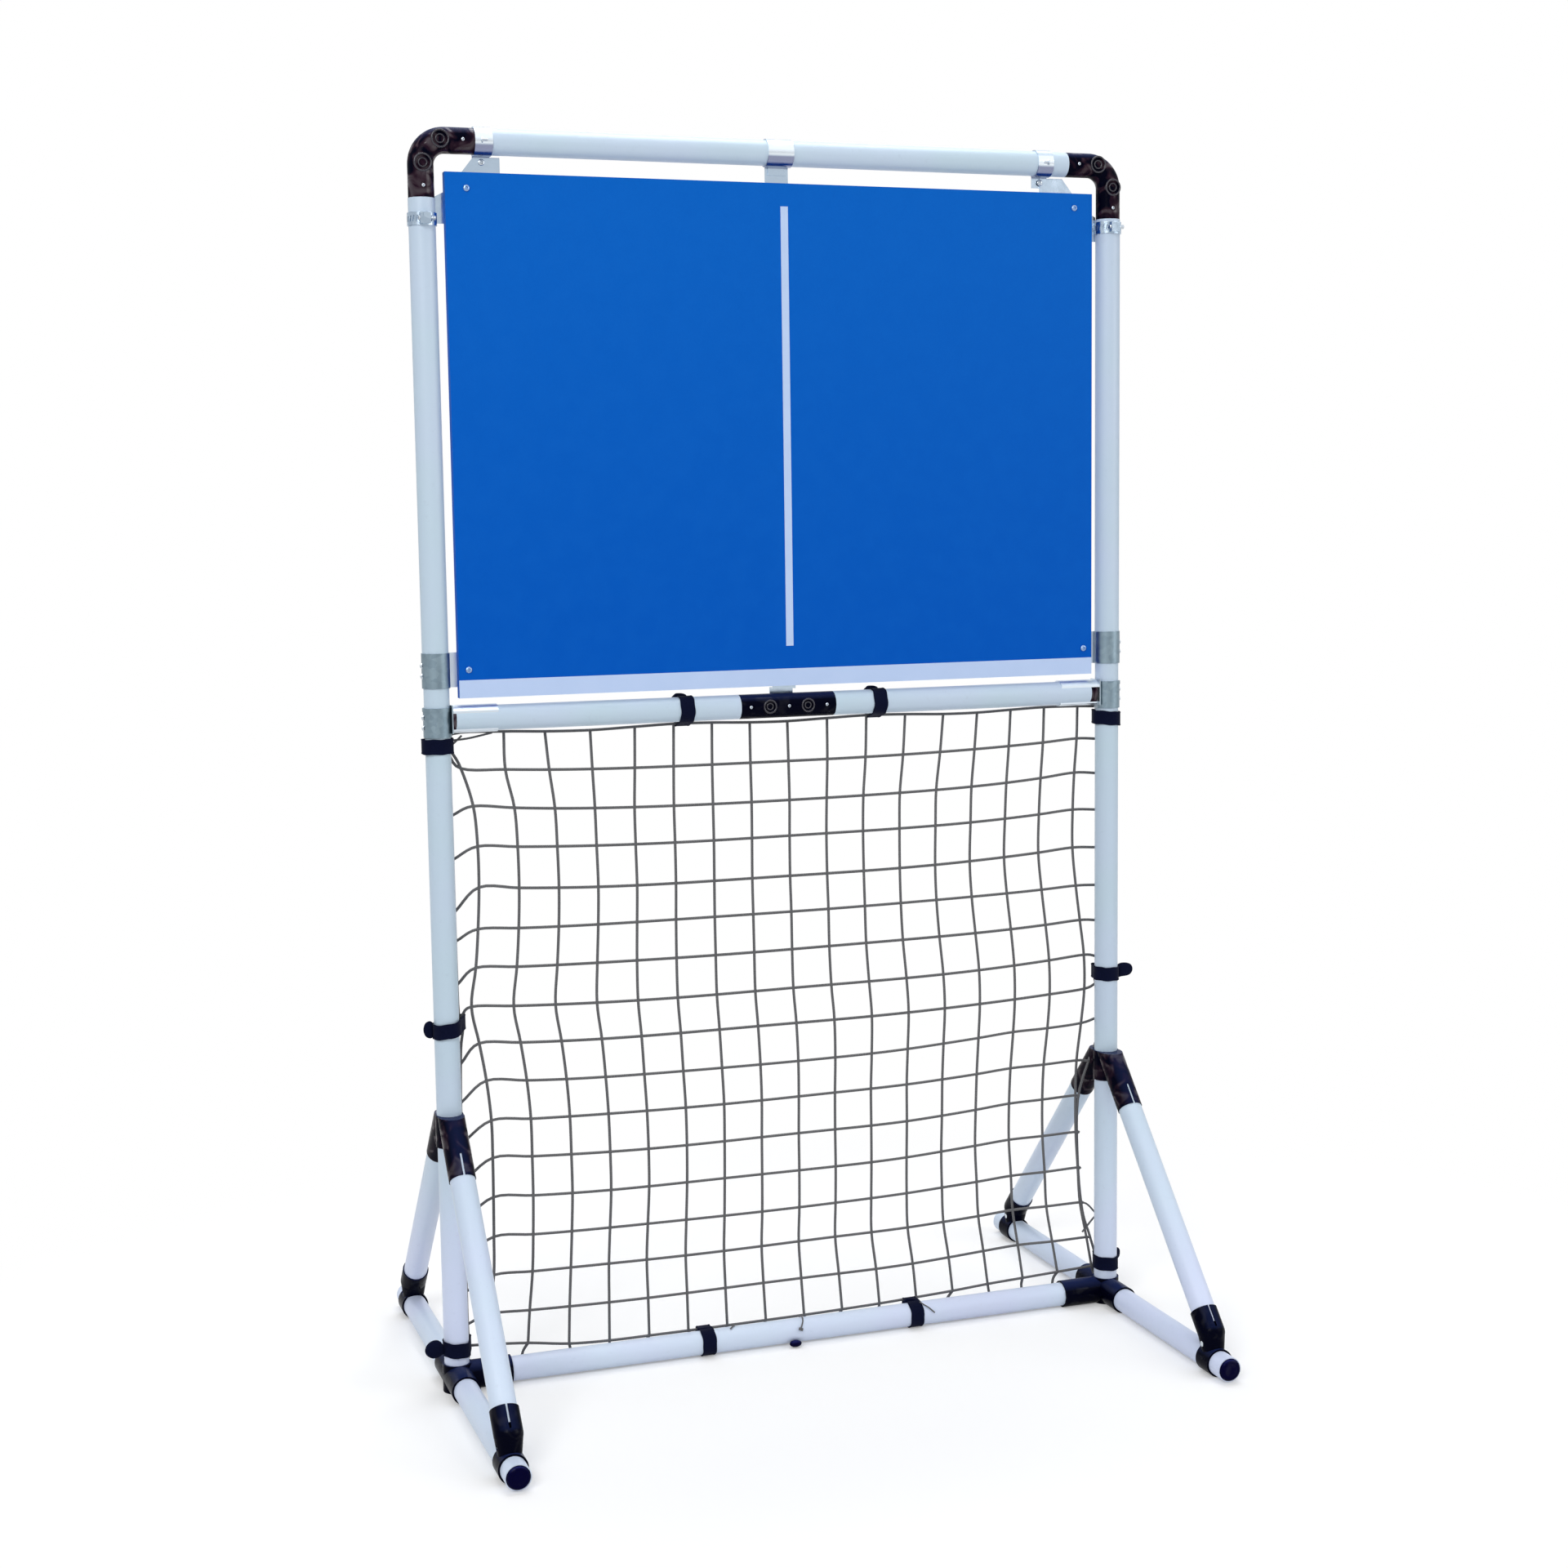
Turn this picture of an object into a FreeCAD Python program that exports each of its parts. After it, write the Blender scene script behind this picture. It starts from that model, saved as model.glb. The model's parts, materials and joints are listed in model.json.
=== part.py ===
import FreeCAD, Part
import math
import os
import re
import Sketcher
from FreeCAD import Placement, Rotation, Vector

# A pitch back rebounder: a blue ball board in a white tube frame, with a net below it.
# X runs to the right seen from the player, -Y faces the player and +Z is up.
# The origin is on the floor, midway between the uprights and under the top bar.

doc = FreeCAD.newDocument("pitch_back_rebounder")
sheet = doc.addObject("Spreadsheet::Sheet", "Sizes")

SIZES = [
    # Tube frame
    ("frame_height", 1588, "floor to the top of the top bar"),
    ("frame_span", 930, "between the axes of the uprights"),
    ("crossbar_height", 866, "floor to the crossbar axis"),
    ("foot_reach", 345, "upright axis to the end of a foot tube"),
    ("tube_diameter", 32, "outside of the frame tubes"),
    ("upper_diameter", 33, "outside of the upper upright tubes"),
    ("tube_wall", 1.2, "wall of every tube"),
    ("socket_gap", 0.1, "clearance of a tube in a socket or on a spigot"),
    ("neck_length", 45, "swaged neck of a lower upright"),
    ("neck_taper", 9, "swage inside that tube, below the joint"),
    ("crossbar_play", 8.8, "free length beside the crossbar's right end plug"),
    ("splice_rise", 57, "board's lower edge to the joint in the uprights"),
    # Black moulded connectors
    ("elbow_bend", 30, "bend radius of an elbow's axis"),
    ("elbow_top_leg", 65, "upright axis to the end of an elbow's top leg"),
    ("elbow_side_leg", 70, "top bar axis to the end of an elbow's side leg"),
    ("coupler_length", 131, "visible length of the crossbar coupler"),
    ("spigot_length", 30, "spigot inside a tube"),
    ("shell_wall", 3, "wall of the elbows and the coupler"),
    ("screw_cover", 1, "wall behind the end of a screw in two shells"),
    ("boss_radius", 11.5, "ring boss on an elbow"),
    ("coupler_boss_radius", 9.5, "ring boss on the coupler"),
    ("boss_ring", 3, "width of a boss's raised ring"),
    ("boss_sink", 0.5, "boss face below the tube surface"),
    ("ring_depth", 1.6, "recess inside a boss's ring"),
    ("top_boss_place", 22, "elbow corner to the boss on the top leg"),
    ("side_boss_place", 29, "elbow corner to the boss on the side leg"),
    ("top_screw_place", 50, "elbow corner to the screw in the top leg"),
    ("side_screw_place", 56, "elbow corner to the screw in the side leg"),
    ("coupler_screw_pitch", 52.5, "between the coupler's screws"),
    ("collar_radius", 18.5, "outside of the base and foot collars"),
    ("sole_flat", 0.6, "flat cut under the base and foot collars"),
    ("bar_arm", 70, "upright axis to the mouth of the bottom bar's socket"),
    ("foot_arm", 57, "upright axis to the mouth of a foot tube's socket"),
    ("tube_stop", 20, "upright axis to the floor of those sockets"),
    ("sole_thickness", 3, "floor to the upright's lower end"),
    ("hub_aim", 374, "floor to the point where the brace axes meet"),
    ("hub_top", 363, "floor to the top of a brace hub"),
    ("hub_bottom", 322, "floor to the bottom of a hub's collar"),
    ("hub_radius", 17.8, "outside of a hub's collar"),
    ("hub_sleeve_radius", 17, "outside of a hub's sleeves"),
    ("hub_mouth", 107, "meeting point to the mouth of a hub's sleeve"),
    ("hub_grip", 37, "brace tube inside a hub's sleeve"),
    ("foot_grip", 22, "brace tube inside a foot connector"),
    ("sleeve_length", 30, "foot connector's sleeve, down to its waist"),
    ("sleeve_radius", 17.8, "outside of a foot connector's sleeve"),
    ("slit_width", 2.5, "slit in the mouth of a sleeve"),
    ("slit_length", 30, "depth of that slit"),
    ("waist_radius", 13, "foot connector where it meets its collar"),
    ("waist_rise", 34.7, "foot tube axis up to the sleeve's lower end"),
    ("waist_offset", 7.4, "foot collar's middle back to that end"),
    ("foot_stub", 40, "foot collar's middle to the foot tube's end"),
    ("foot_collar_width", 30, "length of a foot collar"),
    ("cross_bolt_rise", 5.5, "cross bolt's axis above a foot tube"),
    ("cross_bolt_seat", 13, "foot tube axis to a cross bolt's seats"),
    ("cap_radius", 13.5, "domed face of a foot end cap"),
    ("cap_rise", 5, "end cap beyond the foot tube's end"),
    ("plug_head", 4, "head of a crossbar end plug"),
    ("plug_length", 15, "end caps and plugs inside their tubes"),
    ("right_plug_pull", 4.5, "right crossbar plug, drawn out by this much"),
    # Rebound board
    ("board_side_gap", 27.5, "upright axis to the board's edge"),
    ("board_top_gap", 38, "top bar axis to the board's upper edge"),
    ("board_rest_gap", 26, "crossbar axis to the board's lower edge"),
    ("board_thickness", 12, "thickness of the board"),
    ("board_back", 4, "board's rear face behind the upright axes"),
    ("tape_thickness", 0.4, "court tape on the board"),
    ("band_height", 22.4, "tape along the board's lower edge"),
    ("line_width", 10, "tape down the middle of the board"),
    ("line_top_gap", 29, "that line to the board's upper edge"),
    ("line_start", 52, "board's lower edge to the line"),
    # Galvanised sheet fittings
    ("sheet_thickness", 1.6, "sheet of the clamps, plates and straps"),
    ("upper_bolt_inset", 54, "upright axis to an upper board bolt"),
    ("upper_bolt_drop", 19, "board's upper edge to that bolt"),
    ("lower_bolt_inset", 40, "upright axis to a lower board bolt"),
    ("plate_side", 82.5, "corner plate, upright surface to its inner edge"),
    ("plate_rise", 20, "corner plate above the board's upper edge"),
    ("plate_step", 49.5, "upright surface to the notch in the plate's top"),
    ("plate_shoulder", 17.5, "upright surface to the plate's sloping shoulder"),
    ("shoulder_drop", 20, "board's upper edge to that shoulder"),
    ("plate_ear_drop", 29, "board's upper edge to the ear by the upright"),
    ("plate_foot_drop", 61, "board's upper edge to the plate's lower edge"),
    ("plate_foot_width", 48.5, "upright surface to the end of that edge"),
    ("plate_cut_drop", 27, "board's upper edge to the plate's inner corner"),
    ("left_strap_inset", 76, "left upright axis to the left top bar strap"),
    ("right_strap_inset", 99, "right upright axis to the right top bar strap"),
    ("end_strap_width", 22, "width of those two straps"),
    ("ear_drop", 31, "top bar axis to the lower end of a strap's ear"),
    ("rivet_drop", 24, "top bar axis to the bolt in a strap's ear"),
    ("centre_strap_place", -5.5, "middle of the centre strap"),
    ("centre_strap_width", 34.5, "band of the centre strap"),
    ("stem_width", 31, "stem of the centre strap, behind the board"),
    ("stem_overlap", 40, "stem below the board's upper edge"),
    ("wood_screw_pitch", 15.5, "between the two wood screws of a strap"),
    ("front_lip_width", 24, "lip in front of the stem"),
    ("front_lip_height", 11, "lip below the top bar"),
    ("side_clamp_height", 15.5, "band of a side clamp"),
    ("left_clamp_drop", 95.5, "top bar axis to the left side clamp"),
    ("right_clamp_drop", 81.5, "top bar axis to the right side clamp"),
    ("clamp_slots", 24, "screw slots round a side clamp's band"),
    ("slot_height", 7, "height of a slot"),
    ("slot_width", 1.6, "width of a slot"),
    ("slot_tilt", 12, "lean of a slot"),
    ("housing_width", 13, "screw housing of a side clamp"),
    ("housing_depth", 6.5, "screw housing in front of the band"),
    ("worm_radius", 3, "worm screw in the housing"),
    ("worm_length", 21, "length of the worm screw"),
    ("worm_start", 8.4, "upright axis to the worm screw's blind end"),
    ("tee_above", 15, "tee clamp's collar above the crossbar axis"),
    ("tee_below", 22, "tee clamp's collar below the crossbar axis"),
    ("tongue_reach", 75, "upright axis to the end of a tee clamp's tongue"),
    ("tongue_width", 28, "upper tongue and web of a tee clamp"),
    ("lower_tongue_width", 20, "lower tongue of a tee clamp"),
    ("lip_height", 4.5, "rolled lip on a tee clamp's collar"),
    ("lip_rise", 0.8, "how far that lip stands out"),
    ("tee_screw_pitch", 13, "between the two screws of a clamp"),
    ("board_clamp_height", 43.5, "sleeve of a lower board clamp"),
    ("board_clamp_reach", 50, "upright axis to the end of its tab"),
    ("rest_width", 32, "width of the strap behind the coupler"),
    ("rest_overlap", 25, "that strap above the board's lower edge"),
    ("rest_screw_rise", 15, "board's lower edge to that strap's screws"),
    ("rest_shelf_drop", 3, "board's lower edge to the strap's shelf"),
    ("rest_drop", 14, "crossbar axis to the strap's lower end"),
    # Fasteners
    ("bolt_radius", 3, "shank of a board bolt"),
    ("bolt_head_radius", 6.3, "domed head of a board bolt"),
    ("bolt_crown_radius", 3.8, "flat top of that head"),
    ("bolt_head_height", 2.6, "height of that head"),
    ("hex_socket_radius", 2.4, "hexagon recess in the head"),
    ("hex_socket_depth", 1.8, "depth of that recess"),
    ("bolt_tail", 2, "bolt beyond its nut"),
    ("nut_radius", 5.8, "across the corners of a nut, halved"),
    ("nut_height", 5, "height of a board bolt's nut"),
    ("low_nut_height", 3.5, "height of a nut on a small bolt"),
    ("cross_nut_height", 2.5, "height of a nut on a foot connector's bolt"),
    ("screw_radius", 2, "shank of a small screw"),
    ("screw_head_radius", 4, "head of a small screw"),
    ("screw_head_height", 1.8, "height of a small head"),
    ("head_gap", 0.3, "clearance round a sunk head"),
    ("screw_bite", 8, "depth of a wood screw in the board"),
    # Net and its ties
    ("net_cord", 3, "thickness of the net's cord"),
    ("net_back", 19, "net behind the upright axes"),
    ("net_inset", 19.5, "upright axis to the net's edge cord"),
    ("net_drop", 19.8, "crossbar axis to the net's top cord"),
    ("net_rise", 19.5, "bottom bar axis to the net's bottom cord"),
    ("edge_column", 23.9, "width of the gaps along the net's two sides"),
    ("net_columns", 18, "gaps across the net"),
    ("net_rows", 16, "gaps down the net"),
    ("net_lift", 16, "how much higher the cords run at the sides"),
    ("net_gather", 14, "outermost upright cords drawn to the side ties"),
    ("tie_width", 19, "width of a tie band"),
    ("tie_thickness", 1.8, "thickness of a tie band"),
    ("cord_room", 2.2, "bend of a band round the net's edge cord"),
    ("top_tie_drop", 33.5, "crossbar axis to the upper ties on the uprights"),
    ("middle_tie_height", 471, "floor to the middle ties"),
    ("low_tie_height", 56.5, "floor to the low ties"),
    ("crossbar_tie_left", -142, "left tie on the crossbar"),
    ("crossbar_tie_right", 125, "right tie on the crossbar"),
    ("bottom_tie_left", -128, "left tie on the bottom bar"),
    ("bottom_tie_right", 171, "right tie on the bottom bar"),
    ("tab_length", 17, "loose end of a tie"),
    ("tab_width", 18, "width of that loose end"),
    ("tab_thickness", 3, "two folded layers of the loose end"),
    ("tab_corner", 7, "rounded corners of the loose end"),
    ("hinge_gap", 0.3, "clearance between a band and its loose end"),
    ("crossbar_tab_angle", 45, "loose ends on the crossbar, above straight back"),
    ("bottom_tab_angle", 20, "loose ends on the bottom bar, above straight back"),
    ("low_left_tab_angle", -20, "low left loose end, back from straight out"),
    ("low_right_tab_angle", 35, "low right loose end, back from straight out"),
]
ALIASES = {name for name, size, meaning in SIZES}
for row, (name, size, meaning) in enumerate(SIZES, 1):
    sheet.set(f"A{row}", meaning)
    sheet.set(f"B{row}", str(size))
    sheet.setAlias(f"B{row}", name)
doc.recompute()

RIGHT = Vector(1, 0, 0)
BACK = Vector(0, 1, 0)
UP = Vector(0, 0, 1)
FRONT = Vector(0, -1, 0)
LEFT = Vector(-1, 0, 0)
DOWN = Vector(0, 0, -1)

# Places worked out from the sizes
TUBE = "(tube_diameter / 2)"
BORE = "(tube_diameter / 2 - tube_wall)"
SPIGOT = "(tube_diameter / 2 - tube_wall - socket_gap)"
SOCKET = "(tube_diameter / 2 + socket_gap)"
UPPER = "(upper_diameter / 2)"
NECK = "(upper_diameter / 2 - tube_wall - socket_gap)"
CORE = "(tube_diameter / 2 - shell_wall)"
SHEET = "sheet_thickness"
RING = "(tube_diameter / 2 + sheet_thickness)"
SIDE = "(frame_span / 2)"
TOP = "(frame_height - tube_diameter / 2)"
GROUND = "(collar_radius - sole_flat)"
BOARD_TOP = f"({TOP} - board_top_gap)"
BOARD_LOW = "(crossbar_height + board_rest_gap)"
BOARD_HALF = f"({SIDE} - board_side_gap)"
SPLICE = f"({BOARD_LOW} + splice_rise)"
BOARD_FRONT = "(board_back - board_thickness)"
PLATE_BACK = "(board_back + sheet_thickness)"
STRAP_BACK = "(board_back + 2 * sheet_thickness)"
MARGIN = "collar_radius"
CROSSBAR = f"(frame_span - 2 * {RING} - 2 * plug_head - crossbar_play)"
SHIFT = "(-crossbar_play / 2)"
TOP_TIE = "(crossbar_height - top_tie_drop)"
BRACE_FALL = f"(hub_aim - waist_rise - {GROUND})"
FOOT_COLLAR = "(foot_reach - foot_stub)"
BRACE_RUN = f"({FOOT_COLLAR} - waist_offset)"
BRACE_ANGLE = f"atan({BRACE_FALL} / {BRACE_RUN})"
SLEEVE_END = f"sqrt({BRACE_FALL} ^ 2 + {BRACE_RUN} ^ 2)"
FOOT_MOUTH = f"({SLEEVE_END} - sleeve_length)"
BRACE_START = "(hub_mouth - hub_grip)"


def bound(text):
    """Names of sizes in an expression, read from the sheet."""
    return re.sub(r"[a-z]\w*", lambda word: f"Sizes.{word[0]}" if word[0] in ALIASES else word[0], text)


def measure(text):
    """The value of an expression."""
    return float(sheet.evalExpression(bound(str(text))))


def place(item, at, turn=Rotation()):
    """Puts an item where three expressions say."""
    item.Placement = Placement(Vector(), turn)
    for axis, text in zip("xyz", at):
        item.setExpression(f".Placement.Base.{axis}", bound(text))
    return item


def primitive(kind, at, turn, **sizes):
    """A basic solid with its sizes and its place from the sheet."""
    item = doc.addObject(f"Part::{kind}", kind)
    for size, text in sizes.items():
        item.setExpression(size, bound(text))
    return place(item, at, turn)


def rod(radius, length, at, along=UP):
    return primitive("Cylinder", at, Rotation(UP, along), Radius=radius, Height=length)


def block(across, deep, high):
    """A box from pairs of expressions: its two ends along X, Y and Z."""
    (left, right), (front, back), (low, top) = across, deep, high
    at = (left, front, low)
    return primitive("Box", at, Rotation(), Length=f"{right} - ({left})",
                     Width=f"{back} - ({front})", Height=f"{top} - ({low})")


def hexagon(radius, height, at, along):
    item = primitive("Prism", at, Rotation(UP, along), Circumradius=radius, Height=height)
    item.Polygon = 6
    return item


def fuse(*items):
    item = doc.addObject("Part::MultiFuse", "Fused")
    item.Shapes = list(items)
    item.Refine = True
    return item


def cut(base, *tools):
    """The base less each tool in turn."""
    for tool in tools:
        item = doc.addObject("Part::Cut", "Cut")
        item.Base = base
        item.Tool = tool
        item.Refine = True
        base = item
    return base


def common(first, second):
    item = doc.addObject("Part::MultiCommon", "Common")
    item.Shapes = [first, second]
    item.Refine = True
    return item


def group(items):
    """Separate solids kept together as one sub-part."""
    item = doc.addObject("Part::Compound", "Group")
    item.Links = list(items)
    return item


def mirrored(item, normal=RIGHT):
    """The twin on the other side of the frame's middle plane."""
    twin = doc.addObject("Part::Mirroring", "Mirrored")
    twin.Source = item
    twin.Normal = normal
    return twin


def moulding(name, faces):
    """A solid of worked out faces, from a closed profile and its direction."""
    item = doc.addObject("Part::Feature", name)
    item.Shape = faces
    return item


NODES = []


def node(label, item):
    """Names a sub-part and keeps it for the export."""
    item.Label = label
    NODES.append(item)
    return item


def both_sides(name, left_item):
    """A left sub-part and its mirrored right twin."""
    node(f"{name}_left", left_item)
    return node(f"{name}_right", mirrored(left_item))


def sketch_outline(body, role, corners):
    """A closed outline whose corners are set from the origin by expressions."""
    sketch = body.newObject("Sketcher::SketchObject", "Outline")
    plane = next(item for item in body.Origin.OriginFeatures if item.Role == role)
    sketch.AttachmentSupport = (plane, [""])
    sketch.MapMode = "FlatFace"
    spots = [Vector(measure(across), measure(high), 0) for across, high in corners]
    count = len(spots)
    for index, spot in enumerate(spots):
        sketch.addGeometry(Part.LineSegment(spot, spots[(index + 1) % count]))
    for index in range(count):
        sketch.addConstraint(Sketcher.Constraint("Coincident", index, 2, (index + 1) % count, 1))
    for index, (spot, texts) in enumerate(zip(spots, corners)):
        for kind, value, text in zip(("DistanceX", "DistanceY"), spot, texts):
            number = sketch.addConstraint(Sketcher.Constraint(kind, -1, 1, index, 1, value))
            sketch.setExpression(f"Constraints[{number}]", bound(text))
    return sketch


def sketch_circles(body, role, circles):
    """Circles given by their centres and radii."""
    sketch = body.newObject("Sketcher::SketchObject", "Circles")
    plane = next(item for item in body.Origin.OriginFeatures if item.Role == role)
    sketch.AttachmentSupport = (plane, [""])
    sketch.MapMode = "FlatFace"
    for index, texts in enumerate(circles):
        across, high, radius = (measure(text) for text in texts)
        sketch.addGeometry(Part.Circle(Vector(across, high, 0), UP, radius))
        limits = (Sketcher.Constraint("DistanceX", -1, 1, index, 3, across),
                  Sketcher.Constraint("DistanceY", -1, 1, index, 3, high),
                  Sketcher.Constraint("Radius", index, radius))
        for limit, text in zip(limits, texts):
            number = sketch.addConstraint(limit)
            sketch.setExpression(f"Constraints[{number}]", bound(text))
    return sketch


def padded(name, role, corners, thickness, at):
    """A flat piece: an outline padded away from the player or upward."""
    body = doc.addObject("PartDesign::Body", name)
    pad = body.newObject("PartDesign::Pad", "Pad")
    pad.Profile = sketch_outline(body, role, corners)
    pad.setExpression("Length", bound(thickness))
    pad.Reversed = role == "XZ_Plane"
    body.Tip = pad
    return place(body, at)


def turned(name, profile, at):
    """A round piece: a profile in radius and height, turned about its own Z axis."""
    body = doc.addObject("PartDesign::Body", name)
    spin = body.newObject("PartDesign::Revolution", "Spin")
    sketch = sketch_outline(body, "XZ_Plane", profile)
    spin.Profile = sketch
    spin.ReferenceAxis = (sketch, ["V_Axis"])
    spin.Angle = 360
    body.Tip = spin
    return place(body, at)


def tube(radius, length, at, along=UP):
    """A round tube with the common wall."""
    return cut(rod(radius, length, at, along), rod(f"{radius} - tube_wall", length, at, along))


def belt(big_radius, small_radius, across, back):
    """The tight outline round a circle at the origin and a smaller one beside it."""
    distance = math.hypot(across, back)
    heading = math.atan2(back, across)
    tangent = math.acos((big_radius - small_radius) / distance)

    def spot(centre, radius, angle):
        return centre + Vector(math.cos(heading + angle), math.sin(heading + angle), 0) * radius

    small = Vector(across, back, 0)
    big = Vector()
    starts = [spot(big, big_radius, tangent), spot(big, big_radius, math.pi), spot(big, big_radius, -tangent),
              spot(small, small_radius, -tangent), spot(small, small_radius, 0),
              spot(small, small_radius, tangent)]
    edges = [Part.Arc(*starts[:3]).toShape(), Part.LineSegment(starts[2], starts[3]).toShape(),
             Part.Arc(*starts[3:]).toShape(), Part.LineSegment(starts[5], starts[0]).toShape()]
    return Part.Wire(edges)


# Screws and bolts, with the shank that also cuts its own holes


def small_screw(at, along, length):
    """A round headed screw: the place is under its head, the shank runs along."""
    shank = rod("screw_radius", length, at, along)
    back_at = tuple(f"{text} - ({part}) * screw_head_height" for text, part in zip(at, along))
    head = rod("screw_head_radius", "screw_head_height", back_at, along)
    return fuse(shank, head), shank


def hex_nut(radius, height, hole, at, along):
    return cut(hexagon(radius, height, at, along), rod(hole, height, at, along))


def board_bolt(across, high, washer_back):
    """A bolt through the board, with a domed head in front and a nut behind."""
    front = (across, BOARD_FRONT, high)
    length = f"{washer_back} + nut_height + bolt_tail - {BOARD_FRONT}"
    shank = rod("bolt_radius", length, front, BACK)
    head_at = (across, f"{BOARD_FRONT} - bolt_head_height", high)
    head = primitive("Cone", head_at, Rotation(UP, BACK), Radius1="bolt_crown_radius",
                     Radius2="bolt_head_radius", Height="bolt_head_height")
    recess = hexagon("hex_socket_radius", "hex_socket_depth", head_at, BACK)
    nut = hex_nut("nut_radius", "nut_height", "bolt_radius", (across, washer_back, high), BACK)
    return cut(fuse(shank, head), recess), shank, nut


# Tubes


CLAMP_SCREW_HEIGHTS = {
    "tee": ["crossbar_height + (tee_above - tee_below) / 2 + tee_screw_pitch / 2",
            "crossbar_height + (tee_above - tee_below) / 2 - tee_screw_pitch / 2"],
    "board": [f"{SPLICE} - board_clamp_height / 2 + tee_screw_pitch / 2",
              f"{SPLICE} - board_clamp_height / 2 - tee_screw_pitch / 2"],
}


def clamp_screws_left():
    """Self-drilling hexagon screws through the clamps into the left upright."""
    screws = []
    shanks = []
    for high in CLAMP_SCREW_HEIGHTS["tee"] + CLAMP_SCREW_HEIGHTS["board"]:
        outside = (f"-{SIDE} - {RING}", "0", high)
        shank = rod("screw_radius", "sheet_thickness + tube_wall + screw_head_height", outside, RIGHT)
        head_at = (f"-{SIDE} - {RING} - screw_head_height", "0", high)
        head = hexagon("screw_head_radius", "screw_head_height", head_at, RIGHT)
        screws.append(fuse(shank, head))
        shanks.append(shank)
    return screws, shanks


def lower_upright(shanks):
    """A tube whose upper end is swaged to slide into the upper upright."""
    end = f"{SPLICE} + neck_length"
    profile = [(BORE, "sole_thickness"), (TUBE, "sole_thickness"), (TUBE, SPLICE), (NECK, SPLICE),
               (NECK, end), (f"{NECK} - tube_wall", end), (f"{NECK} - tube_wall", f"{SPLICE} - tube_wall"),
               (BORE, f"{SPLICE} - neck_taper")]
    return cut(turned("LowerUpright", profile, (f"-{SIDE}", "0", "0")), *shanks)


def leaned(item):
    """Leans a piece made along Z from the origin down the front left brace's line."""
    item.Placement = Placement(Vector(), Rotation(RIGHT, 90))
    item.setExpression(".Placement.Base.x", bound(f"-{SIDE}"))
    item.setExpression(".Placement.Base.z", bound("hub_aim"))
    item.setExpression(".Placement.Rotation.Angle", bound(f"90 deg + {BRACE_ANGLE}"))
    return item


def four_feet(name, item):
    """The front left piece and its three mirrored twins."""
    both_sides(f"{name}_front", item)
    both_sides(f"{name}_rear", mirrored(item, BACK))


def frame_tubes(shanks, strap_shanks):
    upper_length = f"{TOP} - elbow_side_leg - {SPLICE}"
    both_sides("upper_upright", tube(UPPER, upper_length, (f"-{SIDE}", "0", SPLICE)))
    both_sides("lower_upright", lower_upright(shanks))
    top_length = "frame_span - 2 * elbow_top_leg"
    top = tube(TUBE, top_length, (f"elbow_top_leg - {SIDE}", "0", TOP), RIGHT)
    node("top_bar", cut(top, *strap_shanks))
    half = f"({CROSSBAR} - coupler_length) / 2"
    node("crossbar_left", tube(TUBE, half, (f"{SHIFT} - {CROSSBAR} / 2", "0", "crossbar_height"), RIGHT))
    node("crossbar_right", tube(TUBE, half, (f"{SHIFT} + coupler_length / 2", "0", "crossbar_height"), RIGHT))
    node("bottom_bar", tube(TUBE, "frame_span - 2 * tube_stop", (f"tube_stop - {SIDE}", "0", GROUND), RIGHT))
    four_feet("foot_tube", tube(TUBE, "foot_reach - tube_stop", (f"-{SIDE}", "-foot_reach", GROUND), BACK))
    brace = tube(TUBE, f"{FOOT_MOUTH} + foot_grip - {BRACE_START}", ("0", "0", BRACE_START))
    four_feet("brace_tube", leaned(brace))


# Moulded connectors


def ring_boss(radius, across, high):
    """A raised ring on the front of a connector and the recess inside it."""
    face = f"({TUBE} - boss_sink)"
    boss = rod(radius, face, (across, "0", high), FRONT)
    floor = (across, f"ring_depth - {face}", high)
    recess = rod(f"{radius} - boss_ring", "ring_depth + boss_sink", floor, FRONT)
    return boss, recess


def shell_screw(across, high, past="0"):
    """A screw through both shells, its sunk head's seat and its shank."""
    seat_at = (across, f"screw_head_height / 2 - {TUBE}", high)
    length = f"tube_diameter - screw_head_height / 2 - screw_cover + {past}"
    screw, shank = small_screw(seat_at, BACK, length)
    seat = rod("screw_head_radius + head_gap", "screw_head_height", seat_at, FRONT)
    return screw, seat, shank


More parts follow.
